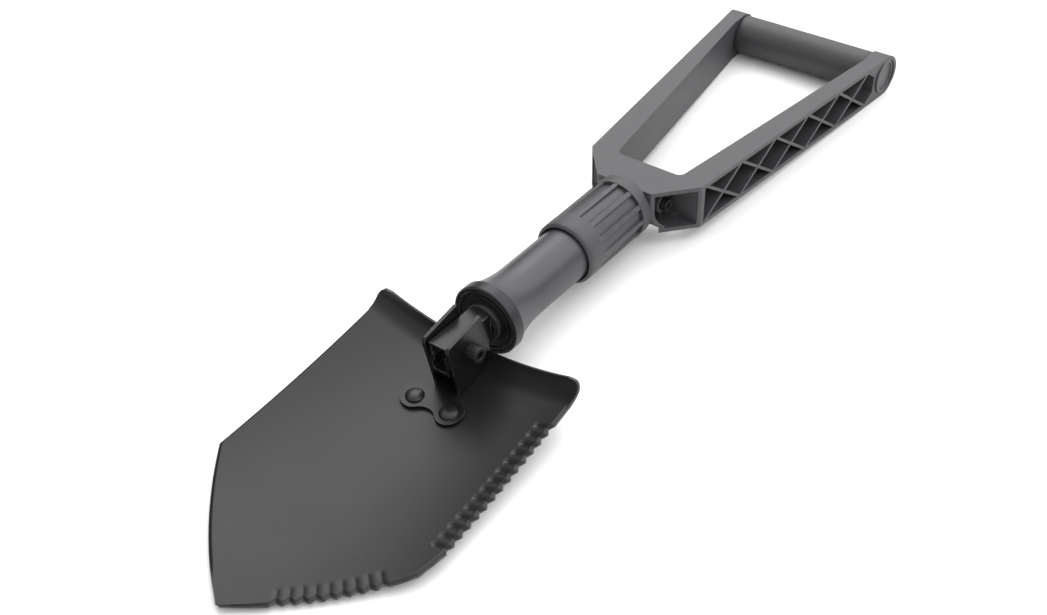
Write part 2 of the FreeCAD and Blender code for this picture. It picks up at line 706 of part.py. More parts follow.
nut_start = -ear_outer - S.washer_thickness - S.nut_height
nut_bore = cross_rod("pivot_nut", [
    (S.bolt_radius, nut_start - 1.0, nut_start + S.nut_height + 1.0)], pivot)
node(boolean("Cut", hexagon(S.nut_flats, nut_start, nut_start + S.nut_height, pivot), nut_bore[0]),
     "pivot_nut")
node(tube_across("pivot_nut_washer", S.nut_flats / 2.0 + 0.8, S.bolt_radius + S.running_fit,
                 -ear_outer - S.washer_thickness, -ear_outer, pivot), "pivot_nut_washer")

washer_start = S.ear_inner_half - S.face_gap - S.washer_thickness
friction = []
for low in (washer_start, -washer_start - S.washer_thickness):
    friction.append(tube_across("friction_washer", S.block_half_height - 1.5,
                                S.bolt_radius + S.running_fit, low, low + S.washer_thickness, pivot))
pair = doc.addObject("Part::Compound", "friction_pair")
pair.Links = friction
node(pair, "pivot_friction_washers")

block_half = washer_start - S.face_gap
bush_radius = S.bolt_radius + S.bush_wall
node(tube_across("pivot_bushing", bush_radius, S.bolt_radius + S.running_fit,
                 -block_half, block_half, pivot), "pivot_bushing")


# ---- Shaft -----------------------------------------------------------------------------------

def pivot_block():
    """Box-nosed block between the ears, with a round spigot that goes into the inner tube."""
    body = new_body("pivot_block")
    top = S.block_half_height
    nose = pivot - S.block_nose
    back = -S.block_back
    side = outline(body, "YZ_Plane", [(nose, -top), (back, -top), (back, top), (nose, top)])
    extrude(body, "Pad", side, block_half * 2.0, both_ways=True)
    spigot = circle_sketch(body, "XZ_Plane", (0, 0), S.core_bore_radius - S.running_fit, level=-back)
    extrude(body, "Pad", spigot, S.spigot_length, reverse=True)
    inner_top = top - S.block_wall
    inner_side = block_half - S.block_wall
    inner_step = inner_side - 1.2
    mouth = outline(body, "XZ_Plane", [
        (-inner_side, -inner_top), (inner_side, -inner_top), (inner_side, -2.6), (inner_step, -1.4),
        (inner_step, 1.8), (inner_side, 3.0), (inner_side, inner_top), (-inner_side, inner_top),
        (-inner_side, 3.0), (-inner_step, 1.8), (-inner_step, -1.4), (-inner_side, -2.6)],
        level=-nose)
    extrude(body, "Pocket", mouth, S.block_mouth_depth)
    bore = circle_sketch(body, "YZ_Plane", (pivot, 0), bush_radius)
    extrude(body, "Pocket", bore, block_half * 2.0 + 2.0, both_ways=True)
    return node(body, "pivot_block")


pivot_block()
ring("shaft_core", S.core_bore_radius, S.core_radius, S.core_start, S.core_end)


def hinge_tongue():
    """Rear end of the shaft: a round plug in the inner tube, then a flat tongue with the hinge bore."""
    body = new_body("hinge_tongue")
    plug = circle_sketch(body, "XZ_Plane", (0, 0), S.core_bore_radius - S.running_fit,
                         level=-S.core_end + S.tongue_plug)
    extrude(body, "Pad", plug, S.tongue_plug + 2.0, reverse=True)
    high = S.tongue_radius
    flat = outline(body, "YZ_Plane", [
        (S.core_end + 1.0, -high), (S.hinge_reach, -high, S.tongue_radius),
        (S.hinge_reach + S.tongue_radius, 0, S.tongue_radius), (S.hinge_reach, high),
        (S.core_end + 1.0, high)])
    extrude(body, "Pad", flat, S.tongue_half_width * 2.0, both_ways=True)
    bore = circle_sketch(body, "YZ_Plane", (S.hinge_reach, 0), S.hinge_pin_radius + S.running_fit)
    extrude(body, "Pocket", bore, S.tongue_half_width * 2.0 + 2.0, both_ways=True)
    return node(body, "hinge_tongue")


hinge_tongue()


# ---- Front nut -------------------------------------------------------------------------------

ring("thrust_disc", S.insert_bore, S.disc_radius, 0, S.disc_thickness)


def front_sleeve():
    """Flared nut and its plain sleeve, one turned tube."""
    body = new_body("front_lock_sleeve")
    waist = S.sleeve_radius
    rim = S.flare_radius
    seat = S.disc_radius + S.sliding_gap
    step = S.disc_thickness + S.sliding_gap
    bore = S.tube_bore
    relief = bore + S.relief_depth
    corners = [
        (seat, 0.4), (rim - 0.8, 0), (rim, 0.8), (rim, S.rim_length), (rim - 0.6, S.rim_length + 0.6),
        (rim - 1.6, S.rim_length + 4.0, S.flare_curve_radius), (waist, S.flare_length),
        (waist, S.sleeve_end), (bore, S.sleeve_end), (bore, S.flare_length - 9.0),
        (relief, step + S.relief_length), (relief, step), (seat, step)]
    spin(body, corners)
    return node(body, "front_lock_sleeve")


front_sleeve()
insert_start = S.flare_length - S.insert_setback
ring("sleeve_insert", S.insert_bore, S.tube_bore, insert_start, insert_start + S.insert_length)


# ---- Ribbed collar ---------------------------------------------------------------------------

collar_end = S.collar_end
thrust_start = collar_end - S.collar_washer
insert_end = thrust_start - S.collar_washer_gap


def ribbed_collar():
    """Collar with a plain ring at its rear end and pockets between its ribs."""
    body = new_body("rear_lock_collar")
    over = S.collar_radius
    big = S.collar_ring_radius
    ring_start = collar_end - S.collar_ring_width
    mouth = S.collar_mouth
    spin(body, [
        (S.collar_bore_radius, mouth + 0.8), (S.collar_bore_radius + 0.8, mouth), (over - 1.2, mouth),
        (over - 0.4, mouth + 1.2), (over, ring_start), (big, ring_start + 0.3),
        (big, collar_end - 0.8), (big - 0.8, collar_end), (S.collar_bore_radius, collar_end)])
    pocket_floor = over - S.collar_pocket_depth
    length = ring_start - mouth - S.collar_band
    half_angle = math.pi / float(S.collar_rib_count)
    rib_half = S.collar_rib_width / 2.0
    low_x = pocket_floor * math.sin(half_angle) - rib_half
    high_x = (over + 1.0) * math.sin(half_angle) - rib_half
    low_z = pocket_floor * math.cos(half_angle)
    high_z = over + 1.0
    wedge = outline(body, "XZ_Plane", [
        (-low_x, low_z), (low_x, low_z), (high_x, high_z), (-high_x, high_z)],
        level=-ring_start + 0.4)
    solid = body.Shape.Volume
    pocket = extrude(body, "Pocket", wedge, length, reverse=True)
    if not 0 < body.Shape.Volume < solid:
        raise RuntimeError("the collar's pocket cut nothing")
    ribs = body.newObject("PartDesign::PolarPattern", "ribs")
    ribs.Originals = [pocket]
    ribs.Axis = (origin_item(body, "Y_Axis"), [""])
    ribs.Angle = 360
    ribs.Occurrences = int(float(S.collar_rib_count))
    ribs.setExpression("Occurrences", S.collar_rib_count.text)
    body.Tip = ribs
    doc.recompute()
    return node(body, "rear_lock_collar")


ribbed_collar()
ring("collar_insert", S.insert_bore, S.collar_bore_radius, insert_end - S.insert_length, insert_end)
ring("collar_thrust_washer", S.insert_bore, S.collar_bore_radius - S.sliding_gap, thrust_start,
     collar_end)


# ---- Handle ----------------------------------------------------------------------------------

def handle_blank():
    """The moulded Y of the handle: yoke, both arms, hand opening and tongue slot."""
    body = new_body("handle_frame")
    end = S.grip_reach + S.handle_half_height
    straight = S.grip_reach - S.arm_end_straight
    front = S.yoke_front
    plan = outline(body, "XY_Plane", [
        (-S.yoke_half_width, front), (S.yoke_half_width, front), (S.kink_half_width, S.kink_reach),
        (S.arm_end_half_width, end), (S.arm_end_inner, end), (S.arm_end_inner, straight),
        (S.opening_half_width + 0.6, S.opening_start + S.opening_corner, -S.opening_corner),
        (S.opening_half_width - S.opening_corner + 1.0, S.opening_start),
        (-S.opening_half_width + S.opening_corner - 1.0, S.opening_start, -S.opening_corner),
        (-S.opening_half_width - 0.6, S.opening_start + S.opening_corner),
        (-S.arm_end_inner, straight), (-S.arm_end_inner, end), (-S.arm_end_half_width, end),
        (-S.kink_half_width, S.kink_reach)])
    extrude(body, "Pad", plan, S.handle_half_height * 2.0, both_ways=True)
    gap = S.tongue_half_width + S.sliding_gap
    slot = outline(body, "XY_Plane", [
        (-gap, front - 1.0), (gap, front - 1.0), (gap, S.opening_start + 1.0),
        (-gap, S.opening_start + 1.0)], level=S.handle_half_height - S.web_height)
    extrude(body, "Pocket", slot, S.handle_half_height * 2.0)
    return body


def rounding(label, reach, radius, low, high, quarter):
    """Box minus cylinder: what rounds the handle about an axis across it.  quarter is the box's
    (y from, y to, z from, z to)."""
    box = doc.addObject("Part::Box", label + "_box")
    y_low, y_high, z_low, z_high = quarter
    bind(box, "Length", high - low)
    bind(box, "Width", y_high - y_low)
    bind(box, "Height", z_high - z_low)
    box.Placement = FreeCAD.Placement(
        Vector(float(low), float(y_low), float(z_low)), FreeCAD.Rotation())
    for axis, value in (("x", low), ("y", y_low), ("z", z_low)):
        box.setExpression(f"Placement.Base.{axis}", dim(value).text)
    rod = cross_rod(label, [(radius, low - 1.0, high + 1.0)], reach)[0]
    return boolean("Cut", box, rod)


def lattice_cutters():
    """Openings of both arms' lattice: triangles and diamonds between crossed ribs."""
    kink = Vector(float(S.kink_half_width), float(S.kink_reach), 0)
    far = Vector(float(S.arm_end_half_width), float(S.grip_reach + S.handle_half_height), 0)
    along = (far - kink).normalize()
    inward = Vector(-along.y, along.x, 0)
    half_rib = float(S.lattice_rib) / 2.0
    high = float(S.lattice_half_height) + half_rib
    pitch = float(S.lattice_pitch)
    first = float(S.lattice_first)
    last = float(S.grip_reach - S.kink_reach - S.cap_radius) - 2.0
    post = float(S.lattice_post) - half_rib
    cells = [[(post, -high), (post, high), (first - pitch / 2.0 + 0.01, high),
              (first, 0), (first - pitch / 2.0 + 0.01, -high)]]
    count = int((last - first) / pitch) + 1
    for index in range(count):
        middle = first + pitch * index
        for side in (-1.0, 1.0):
            cells.append([(middle - pitch / 2.0, side * high), (middle, 0),
                          (middle + pitch / 2.0, side * high)])
        cells.append([(middle, 0), (middle + pitch / 2.0, high), (middle + pitch, 0),
                      (middle + pitch / 2.0, -high)])
    cutters = []
    stop = Part.makeBox(last, 3 * high, 100.0, Vector(0, -1.5 * high, -50.0))
    for cell in cells:
        corners = [Vector(u, v, 0) for u, v in cell]
        wire = Part.makePolygon(corners + corners[:1])
        inner = wire.makeOffset2D(-half_rib, 2)
        if inner.isNull() or not inner.Edges:
            continue
        prism = Part.Face(Part.Wire(inner.Edges)).extrude(Vector(0, 0, 60.0)).common(stop)
        if prism.Volume < 20.0:
            continue
        cutters.append(prism)
    to_arm = FreeCAD.Matrix(along.x, 0, inward.x, kink.x, along.y, 0, inward.y, kink.y,
                            0, 1, 0, 0, 0, 0, 0, 1)
    placed = Part.makeCompound(cutters).transformGeometry(to_arm).common(arm_core(kink, along, inward))
    return Part.makeCompound([placed, placed.mirror(Vector(0, 0, 0), Vector(1, 0, 0))])


def arm_core(kink, along, inward):
    """The right arm without the wall behind its lattice."""
    wall = float(S.lattice_wall)
    inner_low = Vector(float(S.opening_half_width), float(S.opening_start), 0)
    inner_high = Vector(float(S.arm_end_inner), float(S.grip_reach - S.arm_end_straight), 0)
    slope = (inner_high - inner_low).normalize()
    outward = Vector(slope.y, -slope.x, 0)
    past = 20.0
    corners = [inner_low + outward * wall - slope * past * 0.5,
               inner_high + outward * wall + slope * past,
               kink + along * float(S.handle_length) - inward * 2.0, kink - along * 2.0 - inward * 2.0]
    face = Part.Face(Part.makePolygon(corners + corners[:1]))
    half = float(S.lattice_half_height)
    return face.translated(Vector(0, 0, -half)).extrude(Vector(0, 0, 2.0 * half))


def relief_lining():
    """The wall that closes the pockets along the fold relief."""
    wall = float(S.relief_wall)
    width = float(S.opening_half_width) - 0.6 + wall
    low = float(S.handle_half_height) + 3.0
    front = float(S.yoke_front) - 2.0
    block = Part.makeBox(width, float(S.opening_start) + 2.0 - front, low, Vector(0, front, -low))
    inside = Part.makeCylinder(float(S.hinge_setback) - wall, width + 2.0,
                               Vector(-1, float(S.hinge_reach), 0), Vector(1, 0, 0))
    return block.cut(inside)


def yoke_pockets():
    """Both side pockets of the yoke, with a screw boss and a rib left standing in each."""
    start = Vector(float(S.yoke_half_width), float(S.yoke_front), 0)
    kink = Vector(float(S.kink_half_width), float(S.kink_reach), 0)
    along = (kink - start).normalize()
    inward = Vector(-along.y, along.x, 0)
    front_wall = 4.2
    kink_wall = 2.3
    near = start + along * front_wall
    far = kink - along * kink_wall
    root = float(S.yoke_wall)
    rear = float(S.opening_start) - 3.4
    hinge = float(S.hinge_reach)
    corners = [near - inward * 2.0, far - inward * 2.0, far + inward * 1.0,
               Vector(root + 9.0, rear, 0), Vector(root, rear, 0), Vector(root, near.y, 0)]
    depth = float(S.yoke_pocket_half)
    face = Part.Face(Part.makePolygon(corners + corners[:1])).translated(Vector(0, 0, -depth))
    boss_length = float(S.boss_face) - root
    boss = Part.makeCylinder(float(S.boss_radius), boss_length + 1.0, Vector(root - 1.0, hinge, 0),
                             Vector(1, 0, 0))
    rib = Part.makeBox(boss_length - 1.5, float(S.yoke_rib), 2.0 * depth + 1.0,
                       Vector(root, hinge - float(S.yoke_rib) / 2.0, -depth - 0.5))
    pocket = face.extrude(Vector(0, 0, 2.0 * depth)).cut([boss, rib, relief_lining()])
    return Part.makeCompound([pocket, pocket.mirror(Vector(0, 0, 0), Vector(1, 0, 0))])


blank = handle_blank()
below_half = S.opening_half_width - 0.6
below = rounding("fold_relief", S.hinge_reach, S.hinge_setback, -below_half, below_half,
                 (S.yoke_front - 1.0, S.opening_start + 1.0, -S.handle_half_height - 2.0, 0))
rear_round = rounding("arm_end", S.grip_reach, S.handle_half_height, -S.arm_end_half_width - 2.0,
                      S.arm_end_half_width + 2.0,
                      (S.grip_reach, S.grip_reach + S.handle_half_height + 2.0,
                       -S.handle_half_height - 2.0, S.handle_half_height + 2.0))
screw_hole = S.screw_radius + 0.2
pin_bore = cross_rod("handle_bores", [
    (S.hinge_pin_radius, -S.yoke_wall, S.yoke_wall),
    (screw_hole, -S.boss_face - 1.0, S.boss_face + 1.0)], S.hinge_reach)
cap_seat = cross_rod("cap_seats", [
    (S.cap_radius, -S.arm_end_half_width - 3.0, S.arm_end_half_width + 3.0)], S.grip_reach)
doc.recompute()
carving = fuse_all([below, rear_round, *pin_bore, *cap_seat,
                    feature_from(lattice_cutters(), "lattice"),
                    feature_from(yoke_pockets(), "yoke_pockets")])
node(boolean("Cut", blank, carving), "handle_frame")

barrel_half = S.yoke_wall
barrel_rods = cross_rod("hinge_barrel", [
    (S.hinge_pin_radius, -barrel_half, barrel_half),
    (S.screw_radius, -barrel_half - 1.0, -barrel_half + S.screw_grip + 0.5),
    (S.screw_radius, barrel_half - S.screw_grip - 0.5, barrel_half + 1.0)], S.hinge_reach)
node(boolean("Cut", barrel_rods[0], fuse_all(barrel_rods[1:])), "hinge_barrel")


def mirrored_span(side, low, high):
    """A span along x, on the right-hand side or mirrored to the left."""
    return (low, high) if side > 0 else (-high, -low)


head_top = S.boss_face + S.screw_head_height
for label, side in (("hinge_screw_right", 1.0), ("hinge_screw_left", -1.0)):
    rods = cross_rod(label, [
        (S.screw_radius, *mirrored_span(side, S.yoke_wall - S.screw_grip, S.boss_face + 1.0)),
        (S.screw_head_radius, *mirrored_span(side, S.boss_face, head_top))], S.hinge_reach)
    socket = mirrored_span(side, head_top - S.screw_socket_depth, head_top + 1.0)
    node(boolean("Cut", fuse_all(rods), hexagon(S.screw_socket_flats, *socket, S.hinge_reach)), label)

grip_end = S.arm_end_half_width - S.cap_thickness - 1.6
spigot_radius = S.cap_radius - S.running_fit
shoulder = S.arm_end_inner - S.grip_end_gap
bar_rods = cross_rod("grip_bar", [
    (S.grip_radius, -shoulder, shoulder),
    (spigot_radius, -grip_end, grip_end),
    (spigot_radius - S.grip_spigot_wall, -grip_end - 1.0, grip_end + 1.0)], S.grip_reach)
node(boolean("Cut", fuse_all(bar_rods[:2]), bar_rods[2]), "grip_bar")
cap_face = S.arm_end_half_width - S.cap_inset
for label, side in (("grip_cap_right", 1.0), ("grip_cap_left", -1.0)):
    cap_rods = cross_rod(label, [
        (spigot_radius, *mirrored_span(side, grip_end + 0.1, cap_face)),
        (S.cap_radius - S.cap_dish_rim, *mirrored_span(side, cap_face - S.cap_dish_depth,
                                                       cap_face + 1.0))], S.grip_reach)
    node(boolean("Cut", *cap_rods), label)

doc.recompute()


# ---- Rest position and files ------------------------------------------------------------------

def support_pitch(front_shape, rear_shape):
    """Pitch, in degrees, that brings the lowest points of both shapes to one height.  A few rounds
    settle it, because the lowest points change a little as it turns."""
    front_points = front_shape.tessellate(0.2)[0]
    rear_points = rear_shape.tessellate(0.2)[0]
    pitch = 0.0
    for _ in range(12):
        sine = math.sin(pitch)
        cosine = math.cos(pitch)
        front_low = min(front_points, key=lambda point: point.y * sine + point.z * cosine)
        rear_low = min(rear_points, key=lambda point: point.y * sine + point.z * cosine)
        pitch = -math.atan((front_low.z - rear_low.z) / (front_low.y - rear_low.y))
    return math.degrees(pitch)


def rest_placement():
    by_name = {item.Label: item.Shape for item in NODES}
    pitch = support_pitch(by_name["blade"], by_name["handle_frame"])
    turn = FreeCAD.Rotation(Vector(1, 0, 0), pitch)
    points = []
    for shape in by_name.values():
        points += [turn.multVec(point) for point in shape.tessellate(0.2)[0]]
    middle = (min(point.y for point in points) + max(point.y for point in points)) / 2.0
    lowest = min(point.z for point in points)
    return FreeCAD.Placement(Vector(0, -middle, -lowest), turn)


rest = rest_placement()
for item in NODES:
    item.Placement = rest.multiply(item.Placement)
doc.recompute()

for item in doc.Objects:
    if "Invalid" in item.State or "Error" in item.State:
        raise RuntimeError(f"{item.Label} failed: {item.State}")
faulty = [item.Label for item in NODES
          if item.Shape.isNull() or not item.Shape.isValid() or not item.Shape.Solids]
if faulty:
    raise RuntimeError(f"no valid solid: {faulty}")

os.makedirs("parts", exist_ok=True)
for item in NODES:
    item.Shape.exportStep(f"parts/{item.Label}.step")
    print(item.Label, len(item.Shape.Solids), round(item.Shape.Volume / 1000.0, 2))
print("pitch", rest.Rotation.toEuler()[2], "shift", rest.Base)
for title, reach in (("blade pivot", -S.pivot_reach), ("handle hinge", S.hinge_reach)):
    print(title, rest.multVec(Vector(0, float(reach), 0)))
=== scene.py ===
import json
import math

import bmesh
import bpy
import numpy as np
from bpy.props import FloatProperty, FloatVectorProperty, IntProperty, PointerProperty
from mathutils import Matrix, Vector


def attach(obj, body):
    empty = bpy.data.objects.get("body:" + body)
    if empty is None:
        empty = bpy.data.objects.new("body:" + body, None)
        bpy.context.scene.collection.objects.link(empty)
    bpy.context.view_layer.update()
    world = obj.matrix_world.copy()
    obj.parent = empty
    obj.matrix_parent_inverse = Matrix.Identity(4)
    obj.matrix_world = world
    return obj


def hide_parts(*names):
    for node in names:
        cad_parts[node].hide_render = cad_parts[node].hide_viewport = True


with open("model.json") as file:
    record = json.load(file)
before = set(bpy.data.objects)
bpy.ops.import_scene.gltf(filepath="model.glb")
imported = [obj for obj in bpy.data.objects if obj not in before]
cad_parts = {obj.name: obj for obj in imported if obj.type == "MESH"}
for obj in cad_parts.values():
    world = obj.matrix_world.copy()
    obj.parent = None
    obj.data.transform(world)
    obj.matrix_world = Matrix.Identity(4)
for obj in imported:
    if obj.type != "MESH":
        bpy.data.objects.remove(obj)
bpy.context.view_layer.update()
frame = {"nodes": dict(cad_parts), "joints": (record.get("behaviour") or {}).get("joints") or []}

bl_info = {
    "name": "Folding Camp Shovel",
    "version": (1, 0, 0),
    "blender": (4, 5, 0),
    "location": "View3D > Sidebar > Shovel",
    "description": "Builds the visible surfaces of a three-section folding camp shovel",
    "category": "Add Mesh",
}

# ---- Where things are -------------------------------------------------------------------------
# Pieces are drawn in the shaft's own frame, in millimetres: y runs along the shaft towards the grip
# from the front face of the flared nut, z is up and x points to the serrated side.

JOINTS = {joint["name"]: joint for joint in frame["joints"]}
PIVOT_REACH = 24.5
MM = 0.001
ALONG = Vector(JOINTS["front_nut_travel"]["axis"]).normalized()
ACROSS = Vector((1.0, 0.0, 0.0))
UPWARD = ACROSS.cross(ALONG)
NUT_FACE = Vector(JOINTS["blade_fold"]["pos_m"]) + ALONG * PIVOT_REACH * MM
SHAFT = Matrix((
    (ACROSS.x, ALONG.x, UPWARD.x, NUT_FACE.x),
    (ACROSS.y, ALONG.y, UPWARD.y, NUT_FACE.y),
    (ACROSS.z, ALONG.z, UPWARD.z, NUT_FACE.z),
    (0.0, 0.0, 0.0, 1.0)))
TO_WORLD = SHAFT @ Matrix.Scale(MM, 4)
TO_SHAFT = TO_WORLD.inverted()


def extent(name):
    """Lowest and highest corner of a CAD node in the shaft's frame, in millimetres."""
    points = [TO_SHAFT @ vertex.co for vertex in frame["nodes"][name].data.vertices]
    low = Vector([min(point[axis] for point in points) for axis in range(3)])
    high = Vector([max(point[axis] for point in points) for axis in range(3)])
    return low, high


# ---- What a user can change --------------------------------------------------------------------

def length(name, default, description, **more):
    return FloatProperty(name=name, default=default, description=description, **more)


def tint(name, default, description):
    return FloatVectorProperty(
        name=name, default=default, description=description, subtype="COLOR", size=3, min=0.0, max=1.0)


class BladeLook(bpy.types.PropertyGroup):
    half_width: length("Half width", 75.8, "Half the blade's width at its shoulders, in millimetres")
    thickness: length("Thickness", 2.0, "Steel sheet of the blade, in millimetres")
    bevel_width: length("Edge bevel", 2.3, "Ground bevel along the teeth, in millimetres")
    bevel_drop: length("Bevel drop", 1.25, "How far the bevel falls at the very edge, in millimetres")
    flute_length: length("Flute length", 11.5, "Stamped flutes behind the teeth, in millimetres")
    flute_depth: length("Flute depth", 1.15, "Depth of the stamped flutes, in millimetres")
    coat: tint("Coat", (0.008, 0.008, 0.0084), "Powder coat of the blade")


class ShaftLook(bpy.types.PropertyGroup):
    sleeve_radius: length("Sleeve radius", 17.4, "Plain part of the front nut's sleeve, in millimetres")
    flare_radius: length("Flare radius", 22.5, "Rim of the flared nut, in millimetres")
    rib_count: IntProperty(name="Ribs", default=12, min=6, max=24, description="Ribs round the collar")
    rib_width: length("Rib width", 3.0, "Each rib of the collar, in millimetres")
    pocket_depth: length("Pocket depth", 2.0, "Pockets between the collar's ribs, in millimetres")
    anodised: tint("Sleeve", (0.062, 0.062, 0.068), "Anodised sleeve of the front nut")


class HandleLook(bpy.types.PropertyGroup):
    edge: length("Edge rounding", 0.7, "Rounding of the moulded edges, in millimetres")
    nylon: tint("Nylon", (0.050, 0.0495, 0.054), "Glass-filled nylon of the handle and the collar")


class StageLook(bpy.types.PropertyGroup):
    ground: tint("Ground", (0.92, 0.92, 0.92), "Floor under the shovel")
    key_power: length("Key light", 5.2, "Power of the main softbox, in watts")


# ---- Shader helpers ----------------------------------------------------------------------------

class Sock:
    """A shader socket that takes part in sums: an expression on these adds its Math nodes."""

    def __init__(self, paint, socket):
        self.paint = paint
        self.socket = socket

    def _math(self, operation, first, second=None):
        values = {0: first} if second is None else {0: first, 1: second}
        return self.paint.node("ShaderNodeMath", {"operation": operation}, values)

    def __add__(self, other):
        return self._math("ADD", self, other)

    def __sub__(self, other):
        return self._math("SUBTRACT", self, other)

    def __mul__(self, other):
        return self._math("MULTIPLY", self, other)

    def __truediv__(self, other):
        return self._math("DIVIDE", self, other)

    def __pow__(self, other):
        return self._math("POWER", self, other)

    __radd__ = __add__
    __rmul__ = __mul__

    def __rsub__(self, other):
        return self._math("SUBTRACT", other, self)


class Paint:
    """One material being built."""

    def __init__(self, name):
        self.material = bpy.data.materials.new(name)
        self.material.use_nodes = True
        self.tree = self.material.node_tree
        self.tree.nodes.clear()

    def node(self, kind, settings=None, values=None, out=0):
        item = self.tree.nodes.new(kind)
        for key, value in (settings or {}).items():
            if key == "stops":
                while len(item.color_ramp.elements) < len(value):
                    item.color_ramp.elements.new(0.5)
                for element, (position, colour) in zip(item.color_ramp.elements, value):
                    element.position = position
                    element.color = colour
            else:
                setattr(item, key, value)
        for key, value in (values or {}).items():
            if isinstance(value, Sock):
                self.tree.links.new(value.socket, item.inputs[key])
            else:
                item.inputs[key].default_value = value
        return Sock(self, item.outputs[out]) if len(item.outputs) else None

    def place(self):
        """Object coordinates, which are metres here."""
        return self.node("ShaderNodeTexCoord", out="Object")

    def noise(self, scale, detail=3.0, roughness=0.5, where=None, distortion=0.0):
        """Noise from 0 to 1 with features of about 1 / scale metres."""
        return self.node("ShaderNodeTexNoise", {}, {
            "Vector": where or self.place(), "Scale": scale, "Detail": detail, "Roughness": roughness,
            "Distortion": distortion})

    def stretched(self, sizes):
        """Object coordinates in the shaft's frame, squeezed by sizes along x, y and z."""
        turned = self.node("ShaderNodeMapping", {}, {
            "Vector": self.place(), "Rotation": tuple(-angle for angle in SHAFT.to_euler())})
        return self.node("ShaderNodeVectorMath", {"operation": "MULTIPLY"}, {0: turned, 1: sizes})

    def ramp(self, value, low, high):
        """0 below low, 1 above high, smooth between."""
        return self.node("ShaderNodeMapRange", {"interpolation_type": "SMOOTHSTEP"}, {
            "Value": value, "From Min": low, "From Max": high})

    def mix(self, factor, first, second):
        return self.node("ShaderNodeMix", {"data_type": "RGBA"}, {0: factor, 6: first, 7: second}, out=2)

    def attribute(self, name):
        return self.node("ShaderNodeAttribute", {"attribute_name": name}, out="Fac")

    def bump(self, height, distance, strength=1.0, under=None):
        values = {"Height": height, "Distance": distance, "Strength": strength}
        if under is not None:
            values["Normal"] = under
        return self.node("ShaderNodeBump", {}, values)

    def finish(self, **values):
        """Principled surface.  Keywords are its sockets, with _ for a space."""
        named = {key.replace("_", " "): value for key, value in values.items()}
        shader = self.node("ShaderNodeBsdfPrincipled", {}, named)
        self.node("ShaderNodeOutputMaterial", {}, {"Surface": shader})
        return self.material


def rgba(colour, factor=1.0):
    return tuple(min(channel * factor, 1.0) for channel in colour) + (1.0,)


# ---- Materials ---------------------------------------------------------------------------------

def powder_coat(name, colour, roughness=0.36, edge_gain=6.0, grain=1.0):
    """Satin powder coat: fine orange peel, faint clouds and rubbed edges where "edge" is painted."""
    paint = Paint(name)
    clouds = paint.noise(28.0, 4.0)
    peel = paint.noise(1500.0, 2.0)
    specks = paint.ramp(paint.noise(620.0, 2.0, 0.4), 0.70, 0.78)
    rubbed = paint.attribute("edge") * paint.ramp(paint.noise(240.0, 3.0), 0.30, 0.62)
    body = paint.mix(clouds, rgba(colour, 0.88), rgba(colour, 1.13))
    dusty = paint.mix(specks * 0.25, body, rgba(colour, 1.7))
    worn = paint.mix(rubbed, dusty, rgba(colour, edge_gain))
    return paint.finish(
        Base_Color=worn,
        Roughness=clouds * 0.08 + (roughness - 0.04) - rubbed * 0.12,
        Normal=paint.bump(peel, 0.00005 * grain),
        Specular_IOR_Level=0.34,
        Metallic=0.0)


def black_oxide(name, colour, roughness=0.38):
    """Oiled black oxide on machined steel."""
    paint = Paint(name)
    turned = paint.noise(900.0, 2.0, where=paint.stretched((4.0, 1.0, 1.0)))
    worn = paint.attribute("edge") * paint.ramp(paint.noise(420.0, 2.0), 0.38, 0.60)
    return paint.finish(
        Base_Color=paint.mix(worn, rgba(colour), rgba(colour, 7.0)),
        Roughness=turned * 0.14 + (roughness - 0.07),
        Metallic=worn * 0.5 + 0.35,
        Normal=paint.bump(turned, 0.00003))


def anodised(name, colour):
    """Hard-anodised tube: faint turning rings along the shaft, a few rubbed streaks, and painted shade that
    darkens the flare's rim band where "edge" is painted.
    """
    paint = Paint(name)
    rings = paint.noise(55.0, 3.0, where=paint.stretched((1.0, 26.0, 1.0)))
    streaks = paint.ramp(paint.noise(42.0, 4.0, where=paint.stretched((1.6, 0.25, 1.6))), 0.52, 0.80)
    edge = paint.attribute("edge")
    body = paint.mix(streaks * 0.4, rgba(colour), rgba(colour, 1.35))
    return paint.finish(
        # Painted shade: the "edge" weight, which marks the flare's rim band, darkens the colour to 0.42 of
        # itself.
        Base_Color=paint.mix(edge, body, rgba(colour, 0.42)),
        Roughness=rings * 0.10 + 0.33 - streaks * 0.06,
        Metallic=0.55,
        Normal=paint.bump(rings, 0.00003))


def moulded_nylon(name, colour, flow=1.0):
    """Glass-filled nylon: mottled flow marks, fine fibre grain and pale scuffed edges."""
    paint = Paint(name)
    mottle = paint.noise(70.0, 5.0, 0.62, distortion=0.6)
    fibres = paint.noise(1100.0, 3.0, 0.6)
    drawn = paint.noise(120.0, 3.0, 0.5, where=paint.stretched((1.0, 0.22, 1.0)))
    flecks = paint.ramp(paint.noise(300.0, 3.0, 0.55), 0.60, 0.76)
    scuffs = paint.attribute("edge") * paint.ramp(paint.noise(190.0, 3.0), 0.34, 0.66)
    body = paint.mix(mottle * 0.65 + drawn * 0.35, rgba(colour, 0.84), rgba(colour, 1.16))
    flecked = paint.mix(flecks * 0.12 * flow, body, rgba(colour, 1.6))
    return paint.finish(
        Base_Color=paint.mix(scuffs * 0.8, flecked, rgba(colour, 2.1)),
        Roughness=mottle * 0.12 + 0.46,
        Normal=paint.bump(fibres, 0.00005, under=paint.bump(mottle, 0.00012)))


def plain_metal(name, colour, roughness, metallic=1.0, grain=700.0):
    """Machined metal with a fine uneven grain."""
    paint = Paint(name)
    grain_marks = paint.noise(grain, 3.0)
    stains = paint.noise(60.0, 4.0)
    return paint.finish(
        Base_Color=paint.mix(stains, rgba(colour, 0.82), rgba(colour, 1.15)),
        Roughness=grain_marks * 0.16 + (roughness - 0.08),
        Metallic=metallic,
        Normal=paint.bump(grain_marks, 0.00003))


